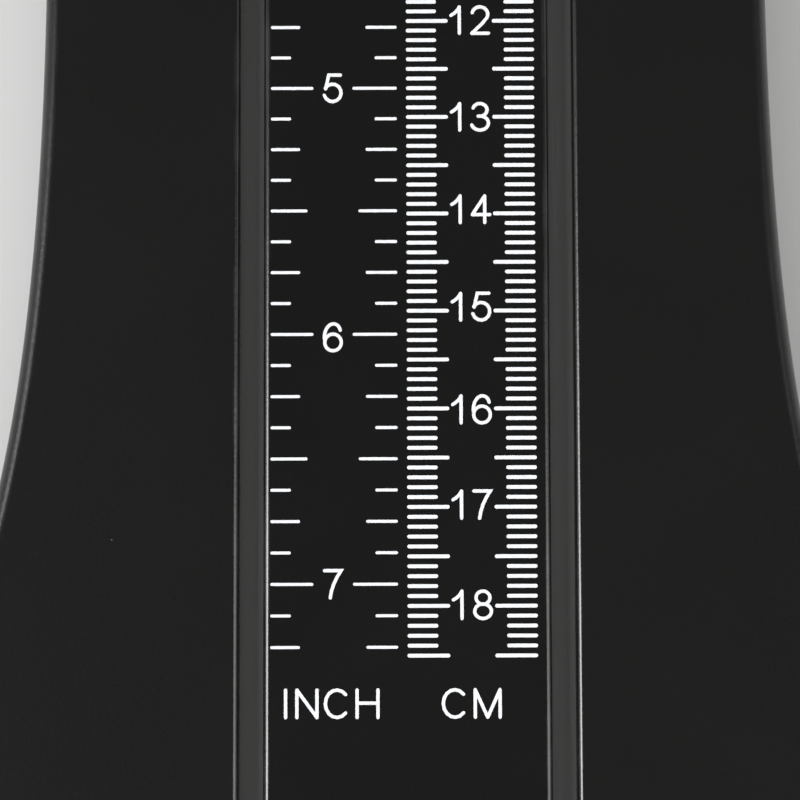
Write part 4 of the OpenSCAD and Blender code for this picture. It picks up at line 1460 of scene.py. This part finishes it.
    def gussets(self) -> list[Solid]:
        """Makes the two braces behind the toe wall.

        Returns:
            One brace for each side.
        """
        inner = self.face_y - self.wall_t
        root, half = self.wall_t / 4, self.gusset_t / 2
        outline = [(inner + root, self.top - root), (inner - self.gusset_l, self.top - root),
                   (inner + root, self.top + self.gusset_h)]
        braces = []
        for side in (-1, 1):
            middle = side * self.gusset_x
            brace = Solid.drawn(outline, Axis.X, middle - half, middle + half)
            braces.append(brace.round_edges(self.soft_edge, lambda a, b: abs(a.x - b.x) < TINY
                                            and abs(a.y - b.y) > self.gusset_l / 2
                                            and abs(a.z - b.z) > self.gusset_h / 2))
        return braces

    def side_grips(self) -> list[Solid]:
        """Makes the half-round finger ribs on both sides.

        Returns:
            The ribs, side by side.
        """
        first = self.tail_y + self.corner + self.grip_from_corner
        places = [Vector((side * self.half_w, first + index * self.grip_pitch))
                  for index in range(self.grip_count) for side in (-1, 1)]
        top = self.top - self.grip_drop
        ribs = Solid.posts(places, self.box.low.z, top, self.grip_r, RIB_SIDES)
        return [rib.round_edges(self.grip_r / 2, lambda a, b: min(a.z, b.z) > top - TINY)
                for rib in ribs]

    def thumb_pad_solid(self) -> Solid:
        """Makes the rubber pad and its ribs.

        Returns:
            The pad.
        """
        base_z = self.thumb.low.z + self.thumb_pad
        pad = Solid.block(Box.span(self.thumb.low, (*self.thumb.high.xy, base_z)))
        pad.round_edges(self.thumb_edge, lambda a, b: max(a.z, b.z) > self.thumb.low.z + TINY,
                        segments=3)
        reach = self.thumb.size.x / 2 - self.thumb_rib_end
        pitch = (self.thumb.size.y + 2 * self.seat_gap) / self.thumb_ribs
        for index in range(self.thumb_ribs):
            y = self.thumb.high.y + self.seat_gap - pitch * (index + 0.5)
            place = Matrix.Translation((0, y, base_z)) @ Matrix.Rotation(math.pi / 2, 4, "Y")
            rib = Solid.rod(self.thumb_rib_r, 2 * reach, place, RIB_SIDES)
            rib.round_edges(self.thumb_rib_r / 2,
                            lambda a, b: min(abs(a.x), abs(b.x)) > reach - TINY)
            pad.plus(rib)
        return pad


# ---- Floor, lights and camera ----


@dataclass(frozen=True)
class Lamp:
    """A soft rectangular lamp."""

    name: str
    place: Corner
    aim: Corner
    width: float
    height: float
    power: float
    colour: Colour = (1.0, 1.0, 1.0)

    def build(self) -> None:
        """Hangs the lamp, turned to what it lights."""
        data = bpy.data.lights.new(self.name, "AREA")
        data.shape = "RECTANGLE"
        data.size = self.width
        data.size_y = self.height
        data.energy = self.power
        data.color = self.colour
        lamp = linked(self.name, data)
        lamp.location = self.place
        heading = Vector(self.aim) - Vector(self.place)
        lamp.rotation_euler = heading.to_track_quat("-Z", "Y").to_euler()


@dataclass(frozen=True)
class Studio:
    """The pale floor, the sky, the lamps and the camera."""

    floor_radius: float = 4.0
    floor_colour: Colour = (0.69, 0.69, 0.685)
    paper_roughness: float = 0.8
    paper_specular: float = 0.2
    cloud_scale: float = 6.0
    cloud_share: float = 0.97
    wall_tone: Colour = (0.72, 0.72, 0.72)
    ceiling_tone: Colour = (0.065, 0.065, 0.067)
    wall_top: float = 0.22
    ceiling_from: float = 0.5
    target: Corner = (-0.70 * MM, -49.62 * MM, 12 * MM)
    distance: float = 290 * MM
    tilt: float = 5.166
    roll: float = -0.157
    lens: float = 128.43
    nearest: float = 10 * MM
    lamps: tuple[Lamp, ...] = (
        Lamp("left_lamp", (-1.26, -0.36, 1.14), (0, -0.36, 0), width=1.0, height=0.85, power=29.0),
        Lamp("right_lamp", (1.26, -0.43, 1.14), (0, -0.43, 0), width=1.0, height=1.2, power=11.0,
             colour=(1.0, 0.985, 0.97)),
        Lamp("toe_lamp", (0, -1.8, 1.43), (0, -0.05, 0), width=1.6, height=0.9, power=15.5),
        Lamp("heel_lamp", (0, 1.9, 1.43), (0, -0.05, 0), width=1.6, height=0.9, power=13.5),
    )

    def build(self) -> None:
        """Sets up everything round the object."""
        self.floor()
        for lamp in self.lamps:
            lamp.build()
        self.walls()
        bpy.context.scene.view_settings.view_transform = "Standard"
        self.camera()

    def walls(self) -> None:
        """Surrounds the floor with pale walls under a dim ceiling."""
        world = bpy.data.worlds.new("studio")
        world.use_nodes = True
        net = Net(world.node_tree)
        way = net.add("TexCoord").outputs["Generated"]
        height = net.add("SeparateXYZ", {0: way}).outputs["Z"]
        share = net.ramp(height, self.wall_top, self.ceiling_from)
        net.feed(world.node_tree.nodes["Background"],
                 Color=net.mix(share, self.wall_tone, self.ceiling_tone))
        bpy.context.scene.world = world

    def floor(self) -> None:
        """Lays the floor."""
        bm = bmesh.new()
        bmesh.ops.create_circle(bm, cap_ends=True, segments=96, radius=self.floor_radius)
        mesh = bpy.data.meshes.new("floor")
        bm.to_mesh(mesh)
        bm.free()
        floor = linked("floor", mesh)
        net, shader, place, material = new_shader("floor_paper", Roughness=self.paper_roughness,
                                                  Specular_IOR_Level=self.paper_specular)
        cloud = net.noise(place, self.cloud_scale, detail=3.0)
        duller = shaded(self.floor_colour, self.cloud_share)
        net.feed(shader, Base_Color=net.mix(cloud, duller, self.floor_colour))
        mesh.materials.append(material)

    def camera(self) -> None:
        """Puts the camera where the photograph's perspective places it."""
        tilt, roll = math.radians(self.tilt), math.radians(self.roll)
        level = Vector((1, 0, 0))
        raised = Vector((0, math.cos(tilt), math.sin(tilt)))
        back = Vector((0, -math.sin(tilt), math.cos(tilt)))
        right = math.cos(roll) * level + math.sin(roll) * raised
        up = math.cos(roll) * raised - math.sin(roll) * level
        data = bpy.data.cameras.new("camera")
        data.lens = self.lens
        data.clip_start = self.nearest
        camera = linked("camera", data)
        turn = Matrix((right, up, back)).transposed().to_4x4()
        camera.matrix_world = Matrix.Translation(Vector(self.target) + self.distance * back) @ turn
        bpy.context.scene.camera = camera


def main() -> None:
    """Builds the object and the studio in order."""
    logging.basicConfig(level=logging.INFO, format="%(name)s %(message)s")
    Studio().build()
    for part in (DeckAndTray(), Ruler(), HeelCup(), Fixings(), ToeSlider()):
        part.build()


if __name__ == "__main__":
    main()
